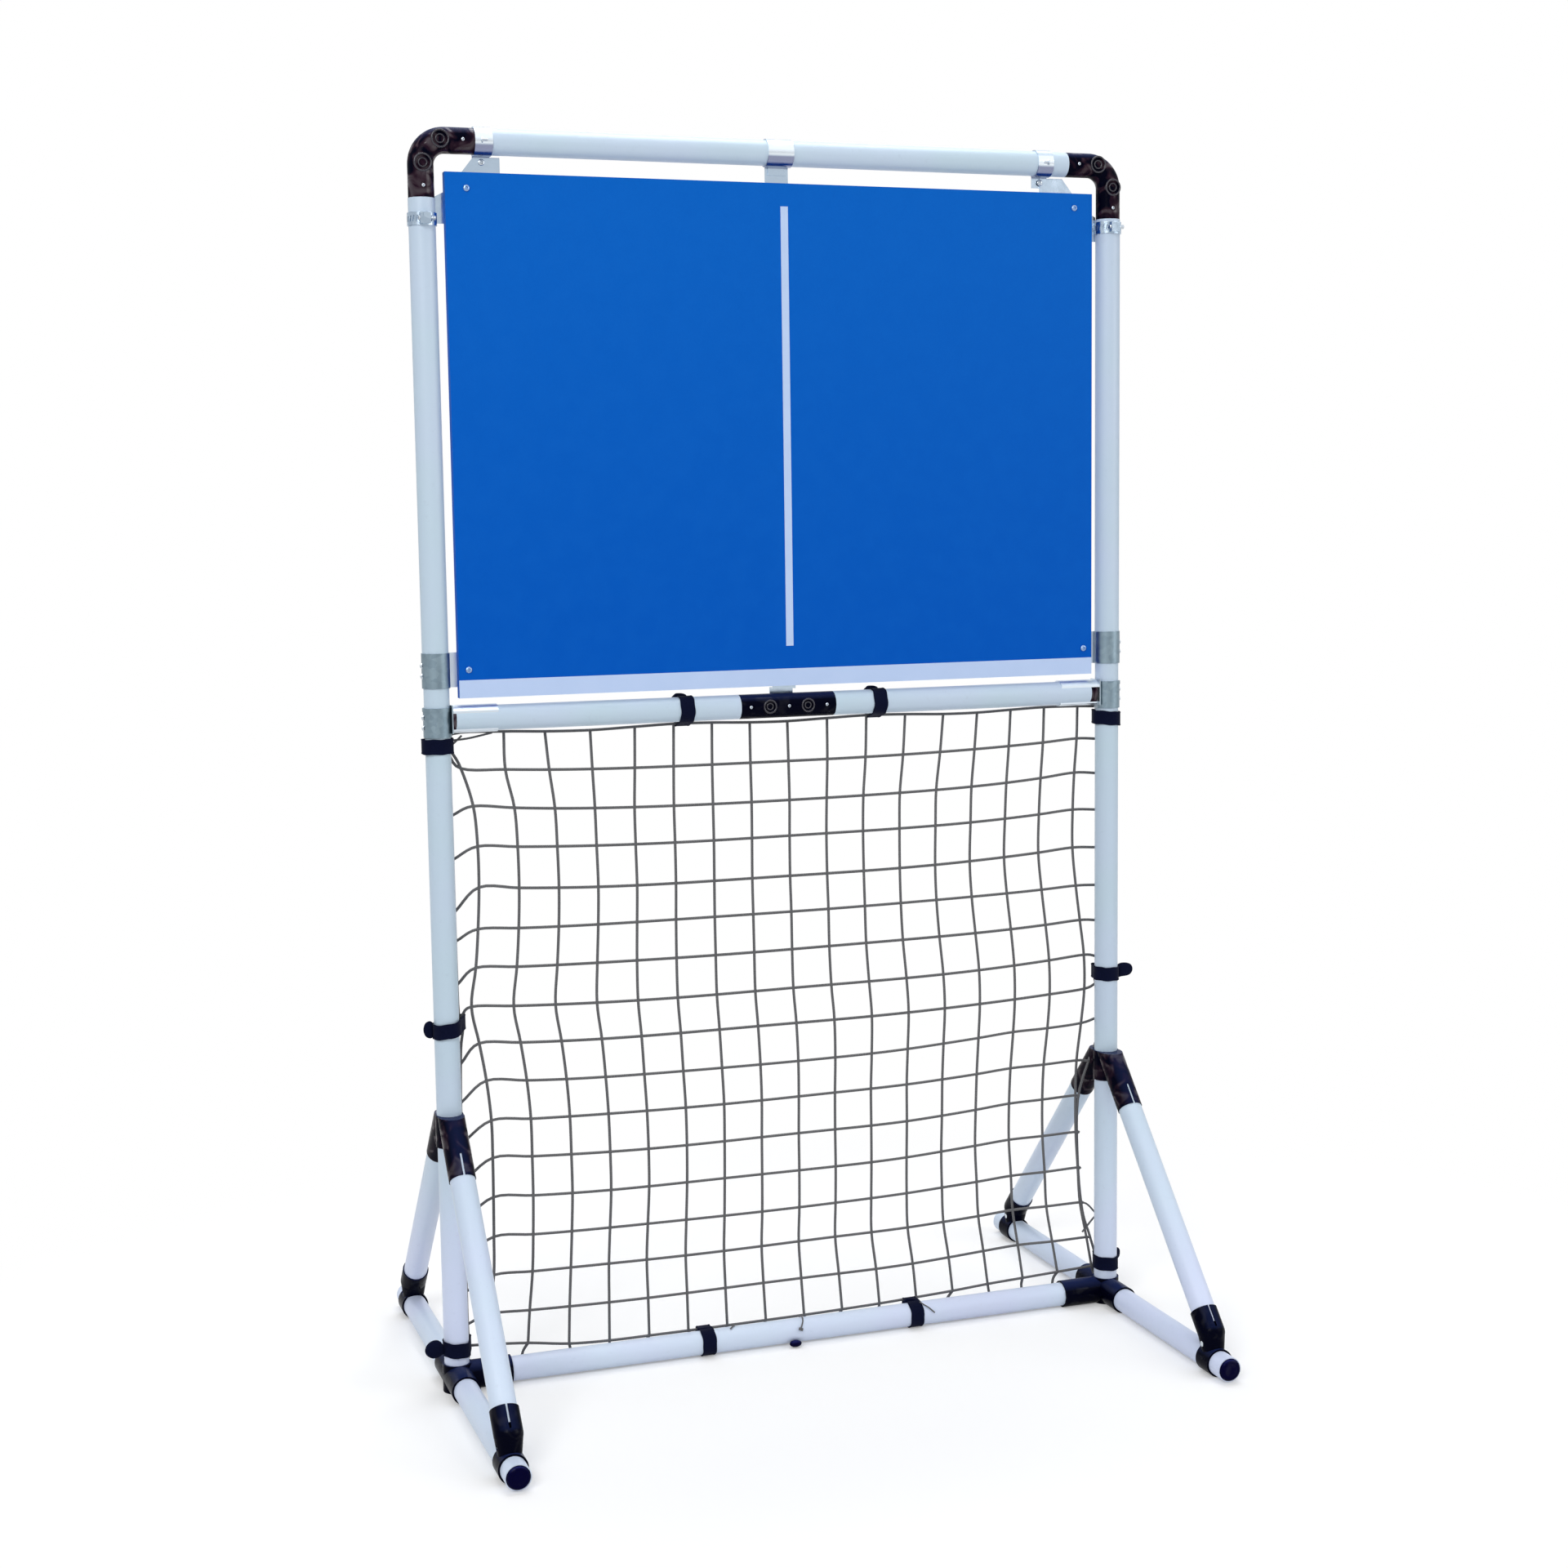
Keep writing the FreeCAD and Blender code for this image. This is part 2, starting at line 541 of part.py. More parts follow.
def elbow_shells():
    """A hollow corner in two shells that meet on the frame's middle plane."""
    bend_at = (f"elbow_bend - {SIDE}", "0", f"{TOP} - elbow_bend")
    top_at = (bend_at[0], "0", TOP)
    side_at = (f"-{SIDE}", "0", bend_at[2])
    screws = [shell_screw(f"top_screw_place - {SIDE}", TOP),
              shell_screw(f"-{SIDE}", f"{TOP} - side_screw_place")]
    rings = [ring_boss("boss_radius", f"top_boss_place - {SIDE}", TOP),
             ring_boss("boss_radius", f"-{SIDE}", f"{TOP} - side_boss_place")]

    def corner(radius):
        body = doc.addObject("PartDesign::Body", "Bend")
        spin = body.newObject("PartDesign::Revolution", "Quarter")
        spin.Profile = sketch_circles(body, "XY_Plane", [("-elbow_bend", "0", radius)])
        spin.ReferenceAxis = (spin.Profile[0], ["V_Axis"])
        spin.Angle = 90
        body.Tip = spin
        return place(body, bend_at)

    def legs(top_radius, side_radius, past):
        return [rod(top_radius, f"elbow_top_leg - elbow_bend + {past}", top_at, RIGHT),
                rod(side_radius, f"elbow_side_leg - elbow_bend + {past}", side_at, DOWN)]

    shell = fuse(corner(TUBE), *legs(TUBE, TUBE, "0"), *legs(SPIGOT, NECK, "spigot_length"),
                 *[boss for boss, recess in rings])
    tools = [recess for boss, recess in rings] + [tool for screw in screws for tool in screw[1:]]
    elbow = cut(shell, corner(CORE), *legs(CORE, CORE, "spigot_length"), *tools)
    across = (f"-{SIDE} - {MARGIN}", f"elbow_top_leg + spigot_length + {MARGIN} - {SIDE}")
    high = (f"{TOP} - elbow_side_leg - spigot_length - {MARGIN}", f"{TOP} + {MARGIN}")
    front = common(elbow, block(across, (f"-{MARGIN}", "0"), high))
    rear = common(elbow, block(across, ("0", MARGIN), high))
    for side, turn in (("left", lambda item: item), ("right", mirrored)):
        node(f"elbow_{side}_front_shell", turn(front))
        node(f"elbow_{side}_rear_shell", turn(rear))
    return [screw for screw, seat, shank in screws]


def coupler_shells():
    """A hollow sleeve in two shells between the crossbar tubes."""
    start = f"{SHIFT} - coupler_length / 2"
    whole = "coupler_length + 2 * spigot_length"
    inner_at = (f"{start} - spigot_length", "0", "crossbar_height")
    screws = [shell_screw(f"{SHIFT} + {step} * coupler_screw_pitch", "crossbar_height", past)
              for step, past in ((-1, "0"), (0, f"screw_cover + {SHEET} + nut_height"), (1, "0"))]
    rings = [ring_boss("coupler_boss_radius", f"{SHIFT} + {step} * coupler_screw_pitch", "crossbar_height")
             for step in (-0.5, 0.5)]
    outside = fuse(rod(TUBE, "coupler_length", (start, "0", "crossbar_height"), RIGHT),
                   rod(SPIGOT, whole, inner_at, RIGHT), *[boss for boss, recess in rings])
    tools = [recess for boss, recess in rings] + [tool for screw in screws for tool in screw[1:]]
    coupler = cut(outside, rod(CORE, whole, inner_at, RIGHT), *tools)
    across = (inner_at[0], f"{inner_at[0]} + {whole}")
    high = (f"crossbar_height - {MARGIN}", f"crossbar_height + {MARGIN}")
    node("crossbar_coupler_front_shell", common(coupler, block(across, (f"-{MARGIN}", "0"), high)))
    node("crossbar_coupler_rear_shell", common(coupler, block(across, ("0", MARGIN), high)))
    return [screw for screw, seat, shank in screws], screws[1][2]


def below_floor():
    """What a flat sole cuts away."""
    across = (f"-{SIDE} - 2 * {MARGIN}", f"bar_arm + {MARGIN} - {SIDE}")
    return block(across, (f"-foot_reach - {MARGIN}", f"foot_reach + {MARGIN}"), (f"-{MARGIN}", "0"))


def base_connectors():
    """Four sockets at the foot of an upright: the upright, two foot tubes and the bar."""
    foot = (f"-{SIDE}", "0", GROUND)
    body = fuse(rod("collar_radius", "bar_arm", foot, RIGHT), rod("collar_radius", "foot_arm", foot, FRONT),
                rod("collar_radius", "foot_arm", foot, BACK),
                rod("collar_radius", f"{GROUND} + collar_radius", (foot[0], "0", "0")))
    depth = "foot_arm - tube_stop"
    bores = [rod(SOCKET, "bar_arm - tube_stop", (f"tube_stop - {SIDE}", "0", GROUND), RIGHT),
             rod(SOCKET, depth, (foot[0], "-tube_stop", GROUND), FRONT),
             rod(SOCKET, depth, (foot[0], "tube_stop", GROUND), BACK),
             rod(SOCKET, "2 * collar_radius", (foot[0], "0", "sole_thickness"))]
    both_sides("base_connector", cut(body, below_floor(), *bores))


def sleeve_slit(mouth, inward):
    """The slit along the upper side of a brace sleeve, before it is leaned."""
    low = mouth if inward > 0 else f"{mouth} - slit_length"
    return block(("-slit_width / 2", "slit_width / 2"), (f"{TUBE} / 2", f"sleeve_radius + {MARGIN}"),
                 (low, f"{low} + slit_length"))


def brace_hubs():
    """A collar on the upright with two sleeves that hold the braces."""
    arm = leaned(rod("hub_sleeve_radius", "hub_mouth", ("0", "0", "0")))
    bore = rod(SOCKET, "hub_grip", ("0", "0", BRACE_START))
    hollow = leaned(fuse(bore, sleeve_slit("hub_mouth", -1)))
    collar = rod("hub_radius", "hub_top - hub_bottom - socket_gap", (f"-{SIDE}", "0", "hub_bottom"))
    body = fuse(collar, arm, mirrored(arm, BACK))
    across = (f"-{SIDE} - 2 * {MARGIN}", f"2 * {MARGIN} - {SIDE}")
    above = block(across, (f"-2 * {MARGIN}", f"2 * {MARGIN}"), ("hub_top", f"hub_aim + {MARGIN}"))
    upright = rod(TUBE, f"hub_aim + {MARGIN} - hub_bottom", (f"-{SIDE}", "0", "hub_bottom"))
    both_sides("brace_hub", cut(body, above, upright, hollow, mirrored(hollow, BACK)))


def foot_connectors():
    """A sleeve under each brace whose waist bends down to a collar on the foot tube."""
    sleeve = leaned(fuse(rod("sleeve_radius", "sleeve_length", ("0", "0", FOOT_MOUTH)),
                         primitive("Sphere", ("0", "0", SLEEVE_END), Rotation(), Radius="sleeve_radius")))
    hollow = leaned(fuse(rod(SOCKET, "foot_grip", ("0", "0", FOOT_MOUTH)),
                         sleeve_slit(FOOT_MOUTH, 1)))
    bend_y = f"(-{BRACE_RUN})"
    bend_z = f"({GROUND} + waist_rise)"
    waist = primitive("Cone", (f"-{SIDE}", bend_y, bend_z), Rotation(RIGHT, 90), Radius1="sleeve_radius",
                      Radius2="waist_radius", Height="sqrt(waist_offset ^ 2 + waist_rise ^ 2)")
    waist.setExpression(".Placement.Rotation.Angle", bound("90 deg + atan(waist_rise / waist_offset)"))
    collar_at = (f"-{SIDE}", f"foot_collar_width / 2 - {FOOT_COLLAR}", GROUND)
    collar = rod("collar_radius", "foot_collar_width", collar_at, FRONT)
    tunnel_at = (f"-{SIDE}", f"foot_collar_width - {FOOT_COLLAR}", GROUND)
    tunnel = rod(TUBE, "2 * foot_collar_width", tunnel_at, FRONT)
    bolt_z = f"({GROUND} + {TUBE} + cross_bolt_rise)"
    bolt_y = f"({bend_y} - waist_offset * ({bend_z} - {bolt_z}) / waist_rise)"
    outer_seat = (f"-{SIDE} - cross_bolt_seat", bolt_y, bolt_z)
    inner_seat = (f"cross_bolt_seat - {SIDE}", bolt_y, bolt_z)
    bolt, shank = small_screw(outer_seat, RIGHT, "2 * cross_bolt_seat + cross_nut_height")
    nut = hex_nut("screw_head_radius", "cross_nut_height", "screw_radius", inner_seat, RIGHT)
    seats = [rod("screw_head_radius + head_gap", "collar_radius", outer_seat, LEFT),
             rod("screw_head_radius + head_gap", "collar_radius", inner_seat, RIGHT)]
    body = fuse(sleeve, waist, collar)
    four_feet("foot_connector", cut(body, tunnel, hollow, below_floor(), shank, *seats))
    return bolt, nut


def four_copies(item):
    rear = mirrored(item, BACK)
    return [item, mirrored(item), rear, mirrored(rear)]


def caps_and_plugs():
    """Domed caps in the foot tubes and flat plugs in the crossbar's ends."""
    cap_profile = [("0", "-plug_length"), (BORE, "-plug_length"), (BORE, "0"), ("cap_radius", "cap_rise / 2"),
                   ("cap_radius - cap_rise / 2", "cap_rise"), ("0", "cap_rise")]
    cap = turned("FootCap", cap_profile, (f"-{SIDE}", "-foot_reach", GROUND))
    cap.Placement = Placement(cap.Placement.Base, Rotation(UP, FRONT))
    node("foot_end_caps", group(four_copies(cap)))
    plug_profile = [("0", "-plug_length"), (BORE, "-plug_length"), (BORE, "0"), (TUBE, "0"),
                    (TUBE, "plug_head"), ("0", "plug_head")]
    plugs = []
    for end, pull, along in ((f"- {CROSSBAR} / 2", "0", LEFT),
                             (f"+ {CROSSBAR} / 2", "right_plug_pull", RIGHT)):
        plug = turned("CrossbarPlug", plug_profile, (f"{SHIFT} {end} + {pull}", "0", "crossbar_height"))
        plug.Placement = Placement(plug.Placement.Base, Rotation(UP, along))
        plugs.append(plug)
    node("crossbar_end_plugs", group(plugs))


# Board and its fittings


def board(bolt_holes, screw_shanks):
    """The rebound panel with its bolt holes, and the tape on its face."""
    body = doc.addObject("PartDesign::Body", "Board")
    pad = body.newObject("PartDesign::Pad", "Panel")
    height = f"{BOARD_TOP} - {BOARD_LOW}"
    pad.Profile = sketch_outline(body, "XZ_Plane", [(f"-{BOARD_HALF}", "0"), (BOARD_HALF, "0"),
                                                    (BOARD_HALF, height), (f"-{BOARD_HALF}", height)])
    pad.setExpression("Length", bound("board_thickness"))
    pad.Reversed = True
    holes = body.newObject("PartDesign::Pocket", "BoltHoles")
    holes.Profile = sketch_circles(body, "XZ_Plane", [(across, f"{high} - {BOARD_LOW}", "bolt_radius")
                                                      for across, high in bolt_holes])
    holes.Type = "ThroughAll"
    body.Tip = holes
    place(body, ("0", BOARD_FRONT, BOARD_LOW))
    node("board", cut(body, *screw_shanks))
    face = (f"{BOARD_FRONT} - tape_thickness", BOARD_FRONT)
    band = block((f"-{BOARD_HALF}", BOARD_HALF), face, (BOARD_LOW, f"{BOARD_LOW} + band_height"))
    line = block(("-line_width / 2", "line_width / 2"), face,
                 (f"{BOARD_LOW} + line_start", f"{BOARD_TOP} - line_top_gap"))
    node("board_tape", group([band, line]))


def side_band(across, drop):
    """A slotted band round an upper upright with a screw housing in front."""
    middle = f"({TOP} - {drop})"
    low = f"({middle} - side_clamp_height / 2)"
    outer = f"({UPPER} + sheet_thickness)"
    body = doc.addObject("PartDesign::Body", "Band")
    pad = body.newObject("PartDesign::Pad", "Ring")
    pad.Profile = sketch_circles(body, "XY_Plane", [("0", "0", outer), ("0", "0", UPPER)])
    pad.setExpression("Length", bound("side_clamp_height"))
    slot = body.newObject("PartDesign::Pocket", "Slot")
    lean = "tan(slot_tilt) * slot_height / 2"
    low_z, top_z = "side_clamp_height / 2 - slot_height / 2", "side_clamp_height / 2 + slot_height / 2"
    slot.Profile = sketch_outline(body, "YZ_Plane", [
        (f"-slot_width / 2 - {lean}", low_z), (f"slot_width / 2 - {lean}", low_z),
        (f"slot_width / 2 + {lean}", top_z), (f"{lean} - slot_width / 2", top_z)])
    slot.setExpression("Length", bound(f"{outer} + {MARGIN}"))
    slot.Reversed = True
    turns = body.newObject("PartDesign::PolarPattern", "Slots")
    turns.Originals = [slot]
    axis = next(item for item in body.Origin.OriginFeatures if item.Role == "Z_Axis")
    turns.Axis = (axis, [""])
    turns.Angle = 360
    turns.setExpression("Occurrences", bound("clamp_slots"))
    body.Tip = turns
    place(body, (across, "0", low))
    half = "housing_width / 2"
    housing = block((f"{across} - {half}", f"{across} + {half}"), (f"-{outer} - housing_depth", "0"),
                    (f"{middle} - {half}", f"{middle} + {half}"))
    bore = rod(UPPER, "side_clamp_height", (across, "0", low))
    worm_at = (f"{across} - worm_start", f"-{outer} - housing_depth / 2", middle)
    worm = rod("worm_radius", "worm_length", worm_at, RIGHT)
    band = cut(fuse(body, cut(housing, bore)), worm)
    envelope = rod(outer, "side_clamp_height", (across, "0", low))
    return band, worm, envelope


def corner_plate(side, bolt_shank, rivet_shank, envelope):
    """A bent-cornered plate behind the board, reaching up to the top bar's strap."""
    edge = f"({SIDE} - {UPPER})"
    shape = [("plate_side", "plate_rise"), ("plate_step", "plate_rise"), ("plate_shoulder", "-shoulder_drop"),
             ("0", "-plate_ear_drop"), ("0", "-plate_foot_drop"), ("plate_foot_width", "-plate_foot_drop"),
             ("plate_side", "-plate_cut_drop")]
    corners = [(f"{side} * ({edge} - ({inset}))", f"{BOARD_TOP} + {rise}") for inset, rise in shape]
    plate = padded("CornerPlate", "XZ_Plane", corners, "sheet_thickness", ("0", "board_back", "0"))
    return cut(plate, bolt_shank, rivet_shank, envelope)


def rear_bolt(across, high, front):
    """A short bolt through a plate and an ear, nut behind."""
    bolt, shank = small_screw((across, front, high), BACK, f"{STRAP_BACK} + nut_height - ({front})")
    nut = hex_nut("nut_radius", "low_nut_height", "screw_radius", (across, STRAP_BACK, high), BACK)
    return bolt, shank, nut


def bar_ring(across, width):
    start = (f"{across} - ({width}) / 2", "0", TOP)
    return rod(RING, width, start, RIGHT), rod(TUBE, width, start, RIGHT)


def band_screw(across):
    """The small screw through the front of a top bar strap."""
    return small_screw((across, f"-{RING}", TOP), BACK, "sheet_thickness + tube_wall")


def end_strap(across, ear_shank, front_shank):
    """A ring round the top bar with an ear behind the corner plate."""
    ring, bore = bar_ring(across, "end_strap_width")
    half = "end_strap_width / 2"
    ear = block((f"{across} - {half}", f"{across} + {half}"), (PLATE_BACK, STRAP_BACK),
                (f"{TOP} - ear_drop", TOP))
    return cut(fuse(ring, ear), bore, ear_shank, front_shank)


def centre_strap(screw_shanks):
    """A ring round the top bar with a stem behind the board and a lip in front of it."""
    across = "centre_strap_place"
    ring, bore = bar_ring(across, "centre_strap_width")
    stem = block((f"{across} - stem_width / 2", f"{across} + stem_width / 2"), ("board_back", PLATE_BACK),
                 (f"{BOARD_TOP} - stem_overlap", TOP))
    lip = block((f"{across} - front_lip_width / 2", f"{across} + front_lip_width / 2"),
                (f"board_back - {SHEET}", "board_back"), (f"{TOP} - {TUBE} - front_lip_height", TOP))
    return cut(fuse(ring, stem, lip), bore, *screw_shanks)


def wood_screws(across, high):
    """Two screws side by side from behind into the board."""
    screws = []
    shanks = []
    for step in (-0.5, 0.5):
        at = (f"{across} + {step} * wood_screw_pitch", PLATE_BACK, high)
        screw, shank = small_screw(at, FRONT, f"{SHEET} + screw_bite")
        screws.append(screw)
        shanks.append(shank)
    return screws, shanks


def rest_strap(screw_shanks, coupler_shank):
    """A strap bent in a Z: up behind the board, back over the coupler and down behind it."""
    shelf = f"{BOARD_LOW} - rest_shelf_drop"
    profile = [("board_back", f"{BOARD_LOW} + rest_overlap"), (PLATE_BACK, f"{BOARD_LOW} + rest_overlap"),
               (PLATE_BACK, shelf), (RING, shelf), (RING, "crossbar_height - rest_drop"),
               (TUBE, "crossbar_height - rest_drop"), (TUBE, f"{shelf} - {SHEET}"),
               ("board_back", f"{shelf} - {SHEET}")]
    strap = padded("RestStrap", "YZ_Plane", profile, "rest_width", (f"{SHIFT} - rest_width / 2", "0", "0"))
    return cut(strap, *screw_shanks, coupler_shank)


def tee_clamp(shanks):
    """A collar on the upright with two tongues that grip the crossbar's end."""
    low, top = "(crossbar_height - tee_below)", "(crossbar_height + tee_above)"
    collar = rod(RING, f"{top} - {low}", (f"-{SIDE}", "0", low))
    lip = rod(f"{RING} + lip_rise", "lip_height", (f"-{SIDE}", "0", f"{top} - lip_height"))
    web_x = (f"-{SIDE} + {TUBE}", f"-{SIDE} + {RING}")
    web = block(web_x, ("-tongue_width / 2", "tongue_width / 2"),
                (f"crossbar_height - {RING}", f"crossbar_height + {RING}"))
    start = (web_x[0], "0", "crossbar_height")
    reach = f"tongue_reach - {TUBE}"
    shell = cut(rod(RING, reach, start, RIGHT), rod(TUBE, reach, start, RIGHT))
    across = (web_x[0], f"-{SIDE} + tongue_reach")
    keep = fuse(block(across, ("-tongue_width / 2", "tongue_width / 2"),
                      ("crossbar_height", f"crossbar_height + 2 * {MARGIN}")),
                block(across, ("-lower_tongue_width / 2", "lower_tongue_width / 2"),
                      (f"crossbar_height - 2 * {MARGIN}", "crossbar_height")))
    bore = rod(TUBE, f"{top} - {low} + 2 * {MARGIN}", (f"-{SIDE}", "0", f"{low} - {MARGIN}"))
    plug_room = rod(TUBE, "tongue_reach", (web_x[1], "0", "crossbar_height"), RIGHT)
    return cut(fuse(collar, lip, web, common(shell, keep)), bore, plug_room, *shanks)


def board_clamp(shanks, bolt_shank):
    """A sleeve under the upright's joint with a tab behind the board's lower corner."""
    low = f"({SPLICE} - board_clamp_height)"
    sleeve = rod(RING, "board_clamp_height", (f"-{SIDE}", "0", low))
    tab = block((f"-{SIDE}", f"-{SIDE} + board_clamp_reach"), ("board_back", PLATE_BACK), (low, SPLICE))
    bore = rod(TUBE, "board_clamp_height", (f"-{SIDE}", "0", low))
    return cut(fuse(sleeve, tab), bore, bolt_shank, *shanks)


# Net and ties


def net_point(column, row):
    """Where an upright cord crosses a level one, as across and high."""
    columns, rows = int(measure("net_columns")), int(measure("net_rows"))
    top = measure("crossbar_height - net_drop")
    bottom = measure(f"{GROUND} + net_rise")
    edge = measure(f"{SIDE} - net_inset")
    pitch = 2 * (edge - measure("edge_column")) / (columns - 2)
    high = top + (bottom - top) * row / rows
    if column in (0, columns):
        across = edge if column else -edge
    else:
        across = (column - columns / 2) * pitch
    down = 2 * row / rows - 1
    high += measure("net_lift") * (across / edge) ** 2 * (1 - down ** 4)
    if column in (1, columns - 1):
        near = sum(math.exp(-((high - measure(level)) / pitch) ** 2)
                   for level in (TOP_TIE, "middle_tie_height", "low_tie_height"))
        across += math.copysign(measure("net_gather") * min(near, 1), across)
    return across, high


def net():
    """One flat net: a face with a hole for every gap, as thick as its cord."""
    columns, rows = int(measure("net_columns")), int(measure("net_rows"))
    half = measure("net_cord / 2")
    front = measure("net_back") - half

    def loop(points):
        return Part.makePolygon([Vector(across, front, high) for across, high in points + points[:1]])

    left, top = net_point(0, 0)
    right, bottom = net_point(columns, rows)
    rim = loop([(left - half, top + half), (right + half, top + half), (right + half, bottom - half),
                (left - half, bottom - half)])
    gaps = []
    for column in range(columns):
        for row in range(rows):
            corners = []
            for step_x, step_z in ((0, 0), (1, 0), (1, 1), (0, 1)):
                across, high = net_point(column + step_x, row + step_z)
                corners.append((across + half * (1 - 2 * step_x), high - half * (1 - 2 * step_z)))
            gaps.append(loop(corners))
    cords = Part.Face(rim, "Part::FaceMakerSimple").cut([Part.Face(gap) for gap in gaps])
    node("net", moulding("Net", cords.Faces[0].extrude(BACK * (2 * half))))


# Each tie: its name, the tube it is on, its place along the tube and its loose end's angle
UPRIGHT_TIES = [
    ("left_top", -1, TOP_TIE, None), ("right_top", 1, TOP_TIE, None),
    ("left_middle", -1, "middle_tie_height", "0"), ("right_middle", 1, "middle_tie_height", "0"),
    ("left_low", -1, "low_tie_height", "low_left_tab_angle"),
    ("right_low", 1, "low_tie_height", "low_right_tab_angle"),
]
BAR_TIES = [
    ("crossbar_left", "crossbar_height", -1, "crossbar_tie_left", "crossbar_tab_angle"),
    ("crossbar_right", "crossbar_height", -1, "crossbar_tie_right", "crossbar_tab_angle"),
    ("bottom_left", GROUND, 1, "bottom_tie_left", "bottom_tab_angle"),
    ("bottom_right", GROUND, 1, "bottom_tie_right", "bottom_tab_angle"),
]


def band_solid(across, back, frame):
    """A tie band round a tube and the net's edge cord; the frame turns it into place."""
    radius, room, thickness = measure(TUBE), measure("cord_room"), measure("tie_thickness")
    width = measure("tie_width")
    outer = belt(radius + thickness, room + thickness, across, back)
    inner = belt(radius, room, across, back)
    face = Part.Face(outer).cut(Part.Face(inner)).Faces[0]
    face.translate(UP * (-width / 2))
    solid = face.extrude(UP * width)
    solid.transformShape(frame.toMatrix())
    return solid


def tab_solid():
    """A loose end along +X: a round root on the Z axis and a flat end with round corners."""
    length, half, thickness = measure("tab_length"), measure("tab_width / 2"), measure("tab_thickness")
    corner = measure("tab_corner")
    bend = corner * math.sqrt(0.5)
    straight, rise = length - corner, half - corner
    low, high = Vector(straight, 0, -half), Vector(straight, 0, half)
    low_tip, high_tip = Vector(length, 0, -rise), Vector(length, 0, rise)
    low_bend = Vector(straight + bend, 0, -rise - bend)
    high_bend = Vector(straight + bend, 0, rise + bend)
    root_low, root_high = Vector(0, 0, -half), Vector(0, 0, half)
    edges = [Part.LineSegment(root_low, low).toShape(), Part.Arc(low, low_bend, low_tip).toShape(),
             Part.LineSegment(low_tip, high_tip).toShape(), Part.Arc(high_tip, high_bend, high).toShape(),
             Part.LineSegment(high, root_high).toShape(), Part.LineSegment(root_high, root_low).toShape()]
    flat = Part.Face(Part.Wire(edges)).extrude(BACK * thickness)
    flat.translate(BACK * (-thickness / 2))
    root = Part.makeCylinder(thickness / 2, 2 * half, Vector(0, 0, -half))
    return flat.fuse(root).removeSplitter()


def ties():
    """Ten bands and the loose ends of eight of them."""
    bands = []
    out = measure(f"{TUBE} + tie_thickness + hinge_gap + tab_thickness / 2")
    for name, side, level, angle in UPRIGHT_TIES:
        centre = Vector(side * measure(SIDE), 0, measure(level))
        bands.append(moulding("Band", band_solid(-side * measure("net_inset"), measure("net_back"),
                                                 Placement(centre, Rotation()))))
        if angle is not None:
            lean = math.radians(measure(angle))
            heading = Vector(side * math.cos(lean), math.sin(lean), 0)
            put_tab(name, centre + heading * out, Rotation(heading, UP.cross(heading), UP, "XYZ"))
    for name, level, rise, place_x, angle in BAR_TIES:
        centre = Vector(measure(place_x), 0, measure(level))
        drop = measure("net_rise") if rise > 0 else -measure("net_drop")
        frame = Placement(centre, Rotation(BACK, UP, RIGHT, "XYZ"))
        bands.append(moulding("Band", band_solid(measure("net_back"), drop, frame)))
        lean = math.radians(measure(angle))
        heading = Vector(0, math.cos(lean), math.sin(lean))
        foot = heading * out
        if rise > 0:
            foot = bulge_top(drop)
        put_tab(name, centre + foot, Rotation(heading, RIGHT.cross(heading), RIGHT, "XYZ"))
    node("net_tie_bands", group(bands))


def bulge_top(drop):
    """The middle of the flat stretch on top of a band on the bottom bar."""
    back = measure("net_back")
    big, small = measure(f"{TUBE} + tie_thickness"), measure("cord_room + tie_thickness")
    angle = math.atan2(drop, back) + math.acos((big - small) / math.hypot(back, drop))
    out = Vector(0, math.cos(angle), math.sin(angle))
    middle = (out * big + Vector(0, back, drop) + out * small) / 2
    return middle + out * measure("hinge_gap + tab_thickness / 2")


def put_tab(name, root, turn):
    """Places a loose end and prints its hinge."""
    tab = node(f"tie_tab_{name}", moulding("Tab", tab_solid()))
    tab.Placement = Placement(root, turn)
    print(f"hinge {name}:", [round(value, 2) for value in root])


